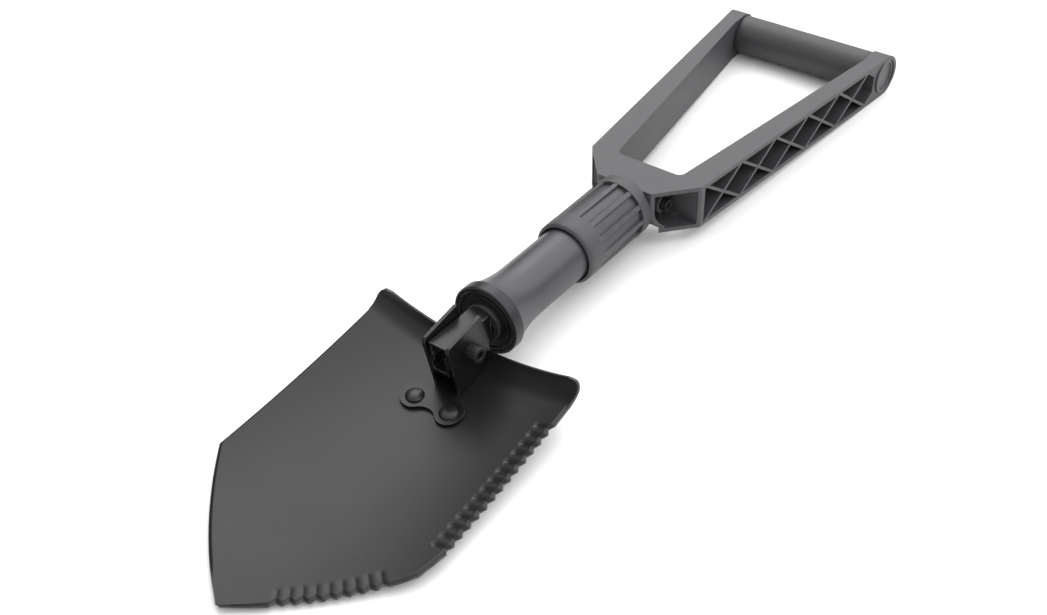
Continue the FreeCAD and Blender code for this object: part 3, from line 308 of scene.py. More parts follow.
def ground_surface(colour):
    paint = Paint("ground")
    return paint.finish(Base_Color=paint.mix(paint.noise(6.0, 2.0), rgba(colour, 0.99), rgba(colour)),
                        Roughness=paint.noise(9.0, 2.0) * 0.05 + 0.62)


MATERIALS = {}


def make_materials(scene):
    """Every finish of the shovel, by the material slot of the record that it serves."""
    coat = scene.shovel_blade.coat
    nylon = scene.shovel_handle.nylon
    MATERIALS.update({
        "blade_coat": powder_coat("blade_coat", coat),
        "bracket_coat": powder_coat("bracket_coat", (0.004, 0.004, 0.004), 0.32, edge_gain=26.0),
        "rivet_black": powder_coat("rivet_black", (0.012, 0.012, 0.013), 0.30, edge_gain=3.0),
        "block_coat": powder_coat("block_coat", (0.006, 0.006, 0.006), 0.32, edge_gain=14.0),
        "disc_black": powder_coat("disc_black", (0.006, 0.006, 0.006), 0.36, edge_gain=4.0),
        "fastener_black": black_oxide("fastener_black", (0.022, 0.022, 0.024)),
        "washer_nylon": moulded_nylon("washer_nylon", (0.03, 0.03, 0.03), 0.2),
        "bushing_bronze": plain_metal("bushing_bronze", (0.42, 0.30, 0.15), 0.36),
        "core_steel": plain_metal("core_steel", (0.10, 0.10, 0.105), 0.42, 0.8),
        "insert_metal": plain_metal("insert_metal", (0.30, 0.30, 0.31), 0.36),
        "sleeve_anodised": anodised("sleeve_anodised", scene.shovel_shaft.anodised),
        "collar_nylon": moulded_nylon("collar_nylon", tuple(channel * 0.86 for channel in nylon), 0.5),
        "handle_nylon": moulded_nylon("handle_nylon", nylon),
        "grip_nylon": moulded_nylon("grip_nylon", tuple(channel * 0.80 for channel in nylon), 0.6),
    })


# ---- Mesh helpers ------------------------------------------------------------------------------

def placed(mesh):
    """A new object that shows this mesh."""
    piece = bpy.data.objects.new(mesh.name, mesh)
    bpy.context.scene.collection.objects.link(piece)
    return piece


def hand_over(piece, body, slot, stands_for=(), smooth_angle=34.0, weighted=False):
    """Gives a finished piece its material, its shading, its body and the CAD node that it stands for."""
    piece.data.materials.clear()
    piece.data.materials.append(MATERIALS[slot])
    shade_by_angle(piece.data, smooth_angle)
    if weighted:
        weight_normals(piece)
    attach(piece, body)
    if stands_for:
        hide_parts(*stands_for)
    return piece


def shade_by_angle(mesh, degrees):
    """Smooth faces, with the edges sharper than this marked sharp."""
    limit = math.radians(degrees)
    shape = bmesh.new()
    shape.from_mesh(mesh)
    for face in shape.faces:
        face.smooth = True
    for edge in shape.edges:
        edge.smooth = not (len(edge.link_faces) == 2 and edge.calc_face_angle(0.0) > limit)
    shape.to_mesh(mesh)
    shape.free()


def weight_normals(piece):
    """Keeps flat faces flat beside their rounded edges: large faces rule the normals they share."""
    modifier = piece.modifiers.new("weighted", "WEIGHTED_NORMAL")
    modifier.keep_sharp = True
    modifier.weight = 80
    graph = bpy.context.evaluated_depsgraph_get()
    made = bpy.data.meshes.new_from_object(piece.evaluated_get(graph), depsgraph=graph)
    piece.modifiers.remove(modifier)
    piece.data = made


def grid_faces(rows, columns, start=0, wrap_rows=False, wrap_columns=False, flip=False):
    """Quads of a grid of rows by columns points, row after row."""
    faces = []
    for row in range(rows if wrap_rows else rows - 1):
        for column in range(columns if wrap_columns else columns - 1):
            after_row = (row + 1) % rows
            after = (column + 1) % columns
            quad = [start + row * columns + column, start + row * columns + after,
                    start + after_row * columns + after, start + after_row * columns + column]
            faces.append(tuple(reversed(quad)) if flip else tuple(quad))
    return faces


def recalculated(mesh, gap=1e-6):
    """Closes seams and turns every face outwards."""
    shape = bmesh.new()
    shape.from_mesh(mesh)
    bmesh.ops.remove_doubles(shape, verts=shape.verts, dist=gap)
    bmesh.ops.recalc_face_normals(shape, faces=shape.faces)
    shape.to_mesh(mesh)
    shape.free()


def turned(name, profile, body, slot, stands_for=(), segments=128, smooth_angle=30.0):
    """A turned part: (radius, y) corners of a closed section, spun round the shaft's axis."""
    points = []
    for step in range(segments):
        angle = 2.0 * math.pi * step / segments
        for radius, y in profile:
            points.append((radius * math.sin(angle), y, radius * math.cos(angle)))
    faces = grid_faces(segments, len(profile), wrap_rows=True, wrap_columns=True)
    mesh = bpy.data.meshes.new(name)
    mesh.from_pydata(points, [], faces)
    recalculated(mesh)
    mesh.transform(TO_WORLD)
    return hand_over(placed(mesh), body, slot, stands_for, smooth_angle)


def arc(centre, radius, start, stop, steps):
    """Points on an arc, angles in degrees, as (radius, y) or any pair."""
    points = []
    for step in range(steps + 1):
        angle = math.radians(start + (stop - start) * step / steps)
        points.append((centre[0] + radius * math.cos(angle), centre[1] + radius * math.sin(angle)))
    return points


def paint_edge(mesh, weights):
    """Stores a weight for each vertex as the "edge" attribute: how rubbed an edge is, and on the flared
    sleeve the rim band that gets painted shade.
    """
    layer = mesh.attributes.new("edge", "FLOAT", "POINT")
    layer.data.foreach_set("value", [float(weight) for weight in weights])


def softened(node_name, width, body, slot, segments=2, angle=28.0, wear=1.0):
    """A CAD node's copy with its loose triangles merged, its flat faces joined and its edges rounded.
    The rounding strips are painted as rubbed edges."""
    source = frame["nodes"][node_name]
    mesh = source.data.copy()
    mesh.name = node_name + "_finished"
    shape = bmesh.new()
    shape.from_mesh(mesh)
    bmesh.ops.remove_doubles(shape, verts=shape.verts, dist=2e-6)
    bmesh.ops.dissolve_limit(shape, angle_limit=math.radians(0.6), verts=shape.verts, edges=shape.edges)
    sharp = [edge for edge in shape.edges
             if len(edge.link_faces) == 2 and edge.calc_face_angle(0.0) > math.radians(angle)]
    for face in shape.faces:
        face.material_index = 0
    if sharp and width > 0.0:
        made = bmesh.ops.bevel(shape, geom=sharp, offset=width * MM, segments=segments, profile=0.5,
                               affect="EDGES", clamp_overlap=True, loop_slide=True)
        strips = set(made["faces"])
    else:
        strips = set()
    layer = shape.loops.layers.float.new("edge")
    for face in strips:
        for corner in face.loops:
            corner[layer] = wear
    shape.normal_update()
    shape.to_mesh(mesh)
    shape.free()
    return hand_over(placed(mesh), body, slot, (node_name,), smooth_angle=40.0, weighted=True)


# ---- Geometry Nodes helpers --------------------------------------------------------------------

class Recipe:
    """One Geometry Nodes tree being built: named inputs in, one geometry out."""

    def __init__(self, name, inputs):
        self.tree = bpy.data.node_groups.new(name, "GeometryNodeTree")
        self.tree.interface.new_socket("Geometry", in_out="INPUT", socket_type="NodeSocketGeometry")
        self.tree.interface.new_socket("Geometry", in_out="OUTPUT", socket_type="NodeSocketGeometry")
        self.names = {}
        for label, kind in inputs:
            item = self.tree.interface.new_socket(label, in_out="INPUT", socket_type=kind)
            self.names[label] = item.identifier
        self.entry = self.tree.nodes.new("NodeGroupInput")
        self.exit = self.tree.nodes.new("NodeGroupOutput")

    def input(self, label):
        return next(socket for socket in self.entry.outputs if socket.name == label)

    def node(self, kind, settings=None, values=None, out=0):
        item = self.tree.nodes.new(kind)
        for key, value in (settings or {}).items():
            setattr(item, key, value)
        for key, value in (values or {}).items():
            if isinstance(value, bpy.types.NodeSocket):
                self.tree.links.new(value, item.inputs[key])
            else:
                item.inputs[key].default_value = value
        return item.outputs[out]

    def finish(self, geometry):
        realised = self.node("GeometryNodeRealizeInstances", {}, {"Geometry": geometry})
        painted = self.node("GeometryNodeSetMaterial", {}, {
            "Geometry": realised, "Material": self.input("Material")})
        self.tree.links.new(painted, self.exit.inputs[0])

    def apply(self, name, base_mesh, values):
        """Runs the tree on an object with this mesh, and keeps the result as a plain mesh object."""
        holder = bpy.data.objects.new(name, base_mesh)
        bpy.context.scene.collection.objects.link(holder)
        modifier = holder.modifiers.new(name, "NODES")
        modifier.node_group = self.tree
        for label, value in values.items():
            modifier[self.names[label]] = value
        graph = bpy.context.evaluated_depsgraph_get()
        graph.update()
        made = bpy.data.meshes.new_from_object(holder.evaluated_get(graph), depsgraph=graph)
        holder.modifiers.remove(modifier)
        holder.data = made
        made.name = name
        return holder


def ring_of_copies():
    """Copies of the base mesh turned round the Y axis, evenly spaced."""
    recipe = Recipe("ring_of_copies", [
        ("Count", "NodeSocketInt"), ("Material", "NodeSocketMaterial")])
    count = recipe.input("Count")
    line = recipe.node("GeometryNodeMeshLine", {}, {"Count": count, "Offset": (0.0, 0.0, 0.0)})
    index = recipe.node("GeometryNodeInputIndex")
    turn = recipe.node("ShaderNodeMath", {"operation": "DIVIDE"}, {0: 2.0 * math.pi, 1: count})
    angle = recipe.node("ShaderNodeMath", {"operation": "MULTIPLY"}, {0: index, 1: turn})
    rotation = recipe.node("ShaderNodeCombineXYZ", {}, {"Y": angle})
    copies = recipe.node("GeometryNodeInstanceOnPoints", {}, {
        "Points": line, "Instance": recipe.input("Geometry"), "Rotation": rotation})
    recipe.finish(copies)
    return recipe


def copies_at_points():
    """Copies of the base mesh at each point of a straight row."""
    recipe = Recipe("row_of_copies", [
        ("Count", "NodeSocketInt"), ("Start", "NodeSocketVector"), ("Step", "NodeSocketVector"),
        ("Material", "NodeSocketMaterial")])
    line = recipe.node("GeometryNodeMeshLine", {}, {
        "Count": recipe.input("Count"), "Start Location": recipe.input("Start"),
        "Offset": recipe.input("Step")})
    copies = recipe.node("GeometryNodeInstanceOnPoints", {}, {
        "Points": line, "Instance": recipe.input("Geometry")})
    recipe.finish(copies)
    return recipe


def base_mesh(name, points, faces):
    mesh = bpy.data.meshes.new(name)
    mesh.from_pydata([tuple(point) for point in points], [], faces)
    recalculated(mesh)
    return mesh


# ---- Blade -------------------------------------------------------------------------------------

class BladePlan:
    """Plan and height of the blade, in the shaft's frame."""

    tip_reach = 213.4
    shoulder_reach = 139.4
    rear_half = 72.9
    flange_start = 20.0
    edge_radius = 270.0
    low_reach = 160.0
    low_depth = 35.5
    rear_depth = 24.5
    dish_at_flange = 14.1
    dish_at_shoulder = 8.2
    bend_radius = 14.0
    bend_angle = 64.0
    flange_straight = 1.8
    corner_radius = 8.0
    shoulder_cut = 13.5
    shoulder_cut_share = 0.5
    side_first = 36.0
    side_pitch = 6.85
    side_depth = 2.4
    side_count = 14
    digging_first = 24.3
    digging_pitch = 6.67
    digging_depth = 2.8
    digging_count = 9
    tooth_roundness = 0.72
    flute_at_edge = 0.2
    flute_settles = 3.5
    digging_flute_share = 0.45

    def __init__(self, look):
        self.half = look.half_width
        self.thickness = look.thickness

    def middle(self, y):
        share = (y + self.low_reach) / (self.low_reach - self.flange_start)
        return -self.low_depth + (self.low_depth - self.rear_depth) * share ** 2

    def dish(self, y):
        share = (-y - self.flange_start) / (self.shoulder_reach - self.flange_start)
        return self.dish_at_flange + (self.dish_at_shoulder - self.dish_at_flange) * share

    def flange(self, travel):
        """(y, z) of the middle line, travel millimetres up the flange from the start of its bend."""
        slope = math.atan(2.0 * (self.low_depth - self.rear_depth) / (self.low_reach - self.flange_start))
        bend = math.radians(self.bend_angle)
        angle = slope + min(travel / self.bend_radius, bend)
        y = -self.flange_start + self.bend_radius * (math.sin(angle) - math.sin(slope))
        z = self.middle(-self.flange_start) + self.bend_radius * (math.cos(slope) - math.cos(angle))
        rest = max(travel - self.bend_radius * bend, 0.0)
        return y + rest * math.cos(angle), z + rest * math.sin(angle)

    def flange_length(self):
        return self.bend_radius * math.radians(self.bend_angle) + self.flange_straight

    def height(self, x, y):
        return self.middle(y) + self.dish(y) * (x / self.half) ** 2

    def digging_edge(self, share, side=1.0):
        """Point of a digging edge, share 0 at the shoulder and 1 at the tip."""
        start = Vector((self.half, -self.shoulder_reach, 0.0))
        end = Vector((0.0, -self.tip_reach, 0.0))
        middle = (start + end) * 0.5
        chord = end - start
        rise = math.sqrt(self.edge_radius ** 2 - chord.length ** 2 / 4.0)
        inward = Vector((chord.y, -chord.x, 0.0)).normalized()
        centre = middle + inward * rise
        first = (start - centre)
        sweep = first.angle(end - centre)
        turned_out = Matrix.Rotation(-sweep * share, 3, "Z") @ first
        point = centre + turned_out
        return Vector((side * point.x, point.y, 0.0))


def edge_marks(plan):
    """The right-hand outline from the flange to the tip: (point, inward, flute phase or None)."""
    marks = []
    rear = Vector((plan.rear_half, -plan.flange_start, 0.0))
    shoulder = Vector((plan.half, -plan.shoulder_reach, 0.0))
    down = (shoulder - rear).normalized()
    cut_top = shoulder - down * plan.shoulder_cut
    side_length = (cut_top - rear).length
    first = plan.side_first - plan.flange_start - plan.side_pitch / 2.0
    last = min(first + plan.side_pitch * plan.side_count, side_length - 0.1)
    inward = Vector((-1.0, 0.0, 0.0))
    steps = 12
    for travel in np.linspace(0.0, first, 10, endpoint=False):
        marks.append((rear + down * travel, inward, None))
    for index in range(plan.side_count * steps + 1):
        phase = index / steps
        travel = first + plan.side_pitch * phase
        if travel < last:
            marks.append((rear + down * travel, inward, phase - 0.5))
    arc_length = plan.edge_radius * 2.0 * math.asin(
        (plan.digging_edge(0.0) - plan.digging_edge(1.0)).length / 2.0 / plan.edge_radius)
    cut_share = plan.shoulder_cut_share * plan.shoulder_cut / arc_length
    cut_low = plan.digging_edge(cut_share)
    slant = Vector((-0.85, 0.53, 0.0)).normalized()
    for share in np.linspace(0.0, 1.0, 16)[1:]:
        point = cut_top.lerp(cut_low, float(share))
        marks.append((point, inward.lerp(slant, float(share)).normalized(), None))
    start = (plan.digging_first - plan.digging_pitch / 2.0) / arc_length
    stop = start + plan.digging_pitch * plan.digging_count / arc_length
    shares = [(share, None) for share in np.linspace(cut_share, start, 14)[1:-1]]
    for index in range(plan.digging_count * steps + 1):
        phase = index / steps
        shares.append((start + (stop - start) * phase / plan.digging_count, phase - 0.5))
    shares += [(share, None) for share in np.linspace(stop, 0.988, 22)[1:]]
    for share, phase in shares:
        here = plan.digging_edge(float(share))
        ahead = plan.digging_edge(float(share) + 0.004)
        run = (ahead - here).normalized()
        marks.append((here, Vector((run.y, -run.x, 0.0)), phase))
    return marks


def wave(phase):
    """1 at the middle of a tooth, and just above 0 between two, which keeps the valleys rounded."""
    return math.sin(math.pi * phase) ** 2 * 0.985 + 0.015


def tooth_cut(phase):
    """How deep the outline is cut at this place along the teeth, from 0 at a crest to 1 in a valley."""
    if phase is None:
        return 0.0
    crest = math.sqrt(wave(phase))
    return max(0.0, 1.0 - crest) ** BladePlan.tooth_roundness


def flute_height(phase, inset, look):
    """Relief of the stamped flutes: a rounded ridge in line with each tooth, narrow valleys between."""
    if phase is None or inset > look.flute_length:
        return 0.0
    ridge = wave(phase) ** 0.36
    fade = min(1.0, (look.flute_length - inset) / 2.2)
    return -look.flute_depth * (1.0 - ridge) * fade * (2.0 - fade)


def edge_offsets(reach, count):
    """Distances from an edge: fine near it, and count even steps from there to reach."""
    fine = [0.0, 0.25, 0.7, 1.2, 1.75, 2.3, 2.9]
    return fine + [fine[-1] + (reach - fine[-1]) * (step / count) for step in range(1, count + 1)]


def build_blade(look):
    """Dished sheet with its ground edges, teeth, stamped flutes and turned-up rear flange."""
    plan = BladePlan(look)
    marks = edge_marks(plan)
    right_reach = 15.5
    left_reach = 6.0
    near_right = edge_offsets(right_reach, 17)
    near_left = edge_offsets(left_reach, 4)
    middle_count = 34
    rows = []
    flange_rows = 16
    for index in range(flange_rows, 0, -1):
        travel = plan.flange_length() * index / flange_rows
        y, z = plan.flange(travel)
        top = plan.flange_length() - travel
        round_in = 0.0
        if top < plan.corner_radius:
            round_in = plan.corner_radius - math.sqrt(
                plan.corner_radius ** 2 - (plan.corner_radius - top) ** 2)
        rows.append((Vector((plan.rear_half - round_in, y, 0.0)), Vector((-1.0, 0.0, 0.0)), None, z, travel))
    for point, inward, phase in marks:
        rows.append((point, inward, phase, None, 0.0))
    upper = []
    lower = []
    rubbed = []
    for point, inward, phase, z_flange, travel in rows:
        left = Vector((-point.x, point.y, 0.0))
        if z_flange is None and point.y < -plan.shoulder_reach + plan.shoulder_cut * 1.2:
            left.x = -left_half_width(plan, point.y)
        depth = plan.side_depth if point.y > -plan.shoulder_reach else plan.digging_depth
        cut = depth * tooth_cut(phase)
        left_inward = Vector((-inward.x, inward.y, 0.0))
        room = min(1.0, (point - left).length / (2.3 * (right_reach + left_reach)))
        start = point + inward * cut
        outline = []
        for inset in near_right:
            outline.append((start + inward * inset * room, inset, cut + inset, None))
        for inset in reversed(near_left):
            outline.append((left + left_inward * inset * room, None, None, inset))
        first = outline[len(near_right) - 1][0]
        last = outline[len(near_right)][0]
        between = [(first.lerp(last, (step + 1) / (middle_count + 1)), None, None, None)
                   for step in range(middle_count)]
        line = outline[:len(near_right)] + between + outline[len(near_right):]
        for place, inset, from_base, left_inset in line:
            if z_flange is None:
                z = plan.height(place.x, place.y)
            else:
                z = z_flange + plan.dish(-plan.flange_start) * (place.x / plan.half) ** 2
            relief = 0.0
            drop = 0.0
            rub = 0.0
            if inset is not None:
                settled = min(1.0, inset / plan.flute_settles)
                relief = flute_height(phase, from_base, look)
                relief *= plan.flute_at_edge + (1.0 - plan.flute_at_edge) * settled
                relief *= 1.0 if point.y > -plan.shoulder_reach else plan.digging_flute_share
                width = look.bevel_width if phase is not None or z_flange is None else 0.8
                drop = look.bevel_drop * max(0.0, 1.0 - inset / width)
                rub = 1.0 if inset < 0.3 else 0.0
            if left_inset is not None:
                drop = look.bevel_drop * 0.9 * max(0.0, 1.0 - left_inset / 1.6)
                rub = 1.0 if left_inset < 0.3 else 0.0
            if z_flange is not None:
                drop = drop * 0.35
            upper.append(Vector((place.x, place.y, z + relief - drop)))
            lower.append(Vector((place.x, place.y, z + relief)))
            rubbed.append(rub)
    columns = len(near_right) + middle_count + len(near_left)
    count = len(rows)
    lower = under_side(lower, count, columns, plan.thickness)
    points = upper + lower
    faces = grid_faces(count, columns)
    faces += grid_faces(count, columns, start=count * columns, flip=True)
    loop = [column for column in range(columns)]
    loop += [row * columns + columns - 1 for row in range(1, count)]
    loop += [(count - 1) * columns + column for column in range(columns - 2, -1, -1)]
    loop += [row * columns for row in range(count - 2, 0, -1)]
    base = count * columns
    for index, here in enumerate(loop):
        after = loop[(index + 1) % len(loop)]
        faces.append((after, here, here + base, after + base))
    piece_mesh = bpy.data.meshes.new("blade_sheet")
    piece_mesh.from_pydata([tuple(point) for point in points], [], faces)
    paint_edge(piece_mesh, rubbed + rubbed)
    recalculated(piece_mesh)
    piece_mesh.transform(TO_WORLD)
    return hand_over(placed(piece_mesh), "blade", "blade_coat", ("blade",), smooth_angle=38.0)


def left_half_width(plan, y):
    """Half width of the plain left side at y, in front of the shoulders' chamfer."""
    if y > -plan.shoulder_reach:
        share = (-y - plan.flange_start) / (plan.shoulder_reach - plan.flange_start)
        return plan.rear_half + (plan.half - plan.rear_half) * share
    low = 0.0
    high = 1.0
    for _ in range(30):
        middle = (low + high) / 2.0
        if plan.digging_edge(middle).y > y:
            low = middle
        else:
            high = middle
    return plan.digging_edge(low).x


def under_side(points, rows, columns, thickness):
    """The same grid moved down, square to the sheet."""
    grid = np.array([tuple(point) for point in points]).reshape(rows, columns, 3)
    across = np.gradient(grid, axis=1)
    along = np.gradient(grid, axis=0)
    normal = np.cross(across, along)
    normal /= np.linalg.norm(normal, axis=2, keepdims=True) + 1e-9
    normal[normal[..., 2] < 0.0] *= -1.0
    smooth = normal.copy()
    for _ in range(2):
        smooth[:, 1:-1] = (smooth[:, :-2] + smooth[:, 1:-1] + smooth[:, 2:]) / 3.0
    smooth /= np.linalg.norm(smooth, axis=2, keepdims=True)
    moved = grid - smooth * thickness
    widths = grid[..., 0]
    moved[..., 0] = np.clip(
        moved[..., 0], widths.min(axis=1, keepdims=True), widths.max(axis=1, keepdims=True))
    return [Vector(point) for point in moved.reshape(-1, 3)]


# ---- Shaft -------------------------------------------------------------------------------------

# The rear collar, in millimetres: its ribs' crests, the plain band at its mouth and its ring.
COLLAR_CREST = 20.8
MOUTH_BAND = 13.0
RING_WIDTH = 9.0


def build_flared_sleeve(look):
    """Flared nut and plain sleeve, with the recess for the thrust disc."""
    high = extent("front_lock_sleeve")[1]
    waist = look.sleeve_radius
    rim = look.flare_radius
    seat = extent("thrust_disc")[1].x + 0.3
    bore = waist - 2.0
    profile = [(seat, 4.3), (seat, 0.7), (seat + 0.35, 0.15), (rim - 1.1, 0.0)]
    profile += arc((rim - 1.1, 1.1), 1.1, -60.0, 0.0, 5)
    profile += [(rim, 6.6)] + arc((rim - 0.5, 7.1), 0.5, 0.0, 60.0, 3)
    flare_start = 7.8
    flare_span = 34.0 - flare_start
    flare_steps = 24
    for step in range(flare_steps + 1):
        share = step / flare_steps
        radius = waist + (rim - 0.9 - waist) * (1.0 - share) ** 2.1
        profile.append((radius, flare_start + flare_span * share))
    profile += [(waist, 50.0), (waist, 65.0), (waist, high.y - 0.4), (waist - 0.4, high.y)]
    profile += [(bore, high.y), (bore, 27.0), (bore + 2.2, 10.3), (bore + 2.2, 4.3)]
    sleeve = turned("flared_sleeve", profile, "front_nut", "sleeve_anodised", ("front_lock_sleeve",))
    # The "edge" weight marks the flare's rim band, which the sleeve's finish darkens as painted shade.
    places = [TO_SHAFT @ vertex.co for vertex in sleeve.data.vertices]
    paint_edge(sleeve.data, [
        1.0 if place.y < flare_start - 0.1 and math.hypot(place.x, place.z) > rim - 1.4 else 0.0
        for place in places])
    return sleeve


def build_thrust_disc():
    """Black disc in the flare, with one pressed groove."""
    high = extent("thrust_disc")[1]
    outer = high.x
    bore = 12.3
    back = high.y
    profile = [(bore, back), (bore, 0.3), (bore + 0.3, 0.05), (16.6, 0.05), (16.8, 0.25), (16.8, 0.8),
               (17.5, 0.8), (17.5, 0.25), (17.7, 0.05), (outer - 0.5, 0.05), (outer, 0.5), (outer, back)]
    return turned("pressed_disc", profile, "front_disc", "disc_black", ("thrust_disc",), segments=96)


def collar_radius(angle, y, look, start, ring_start, over, ring):
    """Outer radius of the ribbed collar: pockets that deepen towards the plain ring."""
    if y >= ring_start:
        return ring
    pitch = 2.0 * math.pi / look.rib_count
    offset = (pitch / 2.0 - abs(angle - pitch / 2.0)) * over
    share = (y - start - MOUTH_BAND) / (ring_start - start - MOUTH_BAND)
    if share <= 0.0:
        return over
    beside = offset - look.rib_width / 2.0
    wall = min(1.0, max(0.0, beside / 0.25))
    groove = 0.35 * math.exp(-((beside - 0.55) / 0.4) ** 2) * min(1.0, share * 12.0)
    floor = look.pocket_depth * (0.30 * min(1.0, share * 16.0) + 0.70 * share)
    return over - wall * floor - groove * (1.0 - 0.8 * share)


def collar_stations(start, ring_start, end):
    """Places along the collar and how much the outside is drawn in there, for the rounded ends."""
    ends = [(start + 0.35, 1.5), (start + 0.8, 0.55), (start + 1.5, 0.12)]
    plain = [start + 5.0, start + MOUTH_BAND - 0.4]
    plain += list(np.linspace(start + MOUTH_BAND + 0.1, ring_start - 0.8, 34))
    plain += [ring_start - 0.35, ring_start - 0.05, ring_start + 0.05, ring_start + 0.6, end - 1.2]
    return ends + [(y, 0.0) for y in plain] + [(end - 0.5, 0.12), (end - 0.15, 0.4), (end, 0.9)]


def build_collar(look):
    """Ribbed nylon collar: one rib and its pocket, repeated round the shaft."""
    low, high = extent("rear_lock_collar")
    ring_start = high.y - RING_WIDTH
    bore = extent("collar_thrust_washer")[1].x + 0.3
    stations = collar_stations(low.y, ring_start, high.y)
    inner = [(bore, high.y), (bore, low.y + 1.0), (bore + 0.35, low.y + 0.4), (bore + 1.0, low.y)]
    points = []
    rubbed = []
    angles = rib_angles(look)
    for angle in angles:
        for y, shrink in stations:
            radius = collar_radius(angle, y, look, low.y, ring_start, COLLAR_CREST, high.x)
            crest = radius > COLLAR_CREST - 0.05 and low.y + MOUTH_BAND < y < ring_start
            rubbed.append(0.35 if crest else 0.0)
            radius -= shrink
            points.append((radius * math.sin(angle), y, radius * math.cos(angle)))
        for radius, y in inner:
            points.append((radius * math.sin(angle), y, radius * math.cos(angle)))
            rubbed.append(0.0)
    columns = len(stations) + len(inner)
    sector = bpy.data.meshes.new("rib_and_pocket")
    sector.from_pydata(points, [], grid_faces(len(angles), columns, wrap_columns=True))
    paint_edge(sector, rubbed)
    piece = ring_of_copies().apply("ribbed_collar", sector, {
        "Count": look.rib_count, "Material": MATERIALS["collar_nylon"]})
    recalculated(piece.data, 0.002)
    piece.data.transform(TO_WORLD)
    return hand_over(piece, "rear_nut", "collar_nylon", ("rear_lock_collar",), smooth_angle=36.0)


def rib_angles(look):
    """Angles across one rib pitch, closer together at the rib's walls."""
    pitch = 2.0 * math.pi / look.rib_count
    near = [-0.10, 0.0, 0.10, 0.20, 0.32, 0.45, 0.6, 0.8, 1.05, 1.4]
    right = [(look.rib_width / 2.0 + step) / COLLAR_CREST for step in near]
    left = [pitch - angle for angle in reversed(right)]
    return [0.0] + right + list(np.linspace(right[-1], left[0], 8)[1:-1]) + left + [pitch]


# ---- Handle ------------------------------------------------------------------------------------

def build_grip():
    """Grip bar: a straight tube between the arms with a fine parting line, and a spigot at each end."""
    low, high = extent("grip_bar")
    reach = (low.y + high.y) / 2.0
    radius = (high.z - low.z) / 2.0
    shoulder = 52.0
    segments = 72
    spigot = radius - 1.65
    rounded = radius - 0.35
    rings = 30
    body = list(np.linspace(-shoulder + 0.5, shoulder - 0.5, rings))
    xs = [-high.x, -shoulder, -shoulder] + body + [shoulder, shoulder, high.x]
    radii = [spigot, spigot, rounded] + [radius] * rings + [rounded, spigot, spigot]
    points = []
    for x, size in zip(xs, radii):
        for step in range(segments):
            angle = 2.0 * math.pi * step / segments
            seam = 0.12 if step in (0, segments // 2) and size == radius else 0.0
            points.append((x, reach + (size - seam) * math.cos(angle), (size - seam) * math.sin(angle)))
    faces = grid_faces(len(xs), segments, wrap_columns=True)
    faces.append(tuple(range(segments)))
    faces.append(tuple(reversed(range((len(xs) - 1) * segments, len(xs) * segments))))
    mesh = base_mesh("grip_tube", points, faces)
    mesh.transform(TO_WORLD)
    return hand_over(placed(mesh), "handle", "grip_nylon", ("grip_bar",), smooth_angle=36.0)


def build_rivets():
    """Both domed rivets of the bracket, placed by a row of copies."""
    low, high = extent("bracket_rivets")
    radius = 5.75
    spacing = high.x - low.x - 2.0 * radius
    height = 2.6
    top = high.z
    base = top - height
    segments = 48
    profile = [(radius, base - 0.9), (radius, base + 0.15)]
    for step in range(1, 12):
        angle = math.radians(90.0 * step / 12.0)
        profile.append((radius * math.cos(angle * 0.98), base + 0.15 + (height - 0.15) * math.sin(angle)))
    points = []
    for distance, z in profile:
        for step in range(segments):
            angle = 2.0 * math.pi * step / segments
            points.append((distance * math.cos(angle), distance * math.sin(angle), z))
    rings = len(profile)
    faces = grid_faces(rings, segments, wrap_columns=True)
    points.append((0.0, 0.0, top))
    crown = len(points) - 1
    last = (rings - 1) * segments
    faces += [(last + step, last + (step + 1) % segments, crown) for step in range(segments)]
    faces.append(tuple(range(segments)))
    shank_low = low.z
    tail_start = len(points)
    under = [(radius, base - 4.6), (radius, base - 5.4), (radius * 0.86, shank_low + 0.45),
             (radius * 0.55, shank_low + 0.1)]
    for distance, z in under:
        for step in range(segments):
            angle = 2.0 * math.pi * step / segments
            points.append((distance * math.cos(angle), distance * math.sin(angle), z))
    faces += grid_faces(len(under), segments, start=tail_start, wrap_columns=True)
    points.append((0.0, 0.0, shank_low + 0.02))
    tail = len(points) - 1
    last = tail_start + (len(under) - 1) * segments
    faces += [(last + step, last + (step + 1) % segments, tail) for step in range(segments)]
    faces.append(tuple(range(tail_start, tail_start + segments)))
    mesh = base_mesh("rivet", points, faces)
    middle = (low.y + high.y) / 2.0
    recipe = copies_at_points()
    piece = recipe.apply("domed_rivets", mesh, {
        "Count": 2, "Start": (-spacing / 2.0, middle, 0.0), "Step": (spacing, 0.0, 0.0),
        "Material": MATERIALS["rivet_black"]})
    piece.data.transform(TO_WORLD)
    return hand_over(piece, "blade", "rivet_black", ("bracket_rivets",), smooth_angle=36.0)


# ---- Camera, floor and light -------------------------------------------------------------------

def build_camera():
    """Camera above and in front of the serrated side."""
    place = Vector((372.6, -434.5, 477.0))
    look = Vector((-0.4806, 0.6068, -0.6331))
    right = Vector((0.7969, 0.6035, -0.0266))
    up = right.cross(look).normalized()
    right = look.cross(up).normalized()
    look = look.normalized()
    turn = Matrix((right, up, -look)).transposed().to_4x4()
    data = bpy.data.cameras.new("camera")
    data.sensor_width = 36.0
    data.lens = 45.0
    data.clip_start = 0.01
    camera = bpy.data.objects.new("camera", data)
    bpy.context.scene.collection.objects.link(camera)
    camera.matrix_world = SHAFT @ Matrix.Translation(place * MM) @ turn
    bpy.context.scene.camera = camera


# How the surroundings fade: axis, where the fade starts and ends along it, brightness at both ends.
SKY_FALL = (
    ("Z", 0.05, 0.45, 0.10, 2.6),
    ("X", -0.80, -0.56, 0.04, 1.0),
    ("Y", -0.55, 0.50, 0.38, 1.0),
)


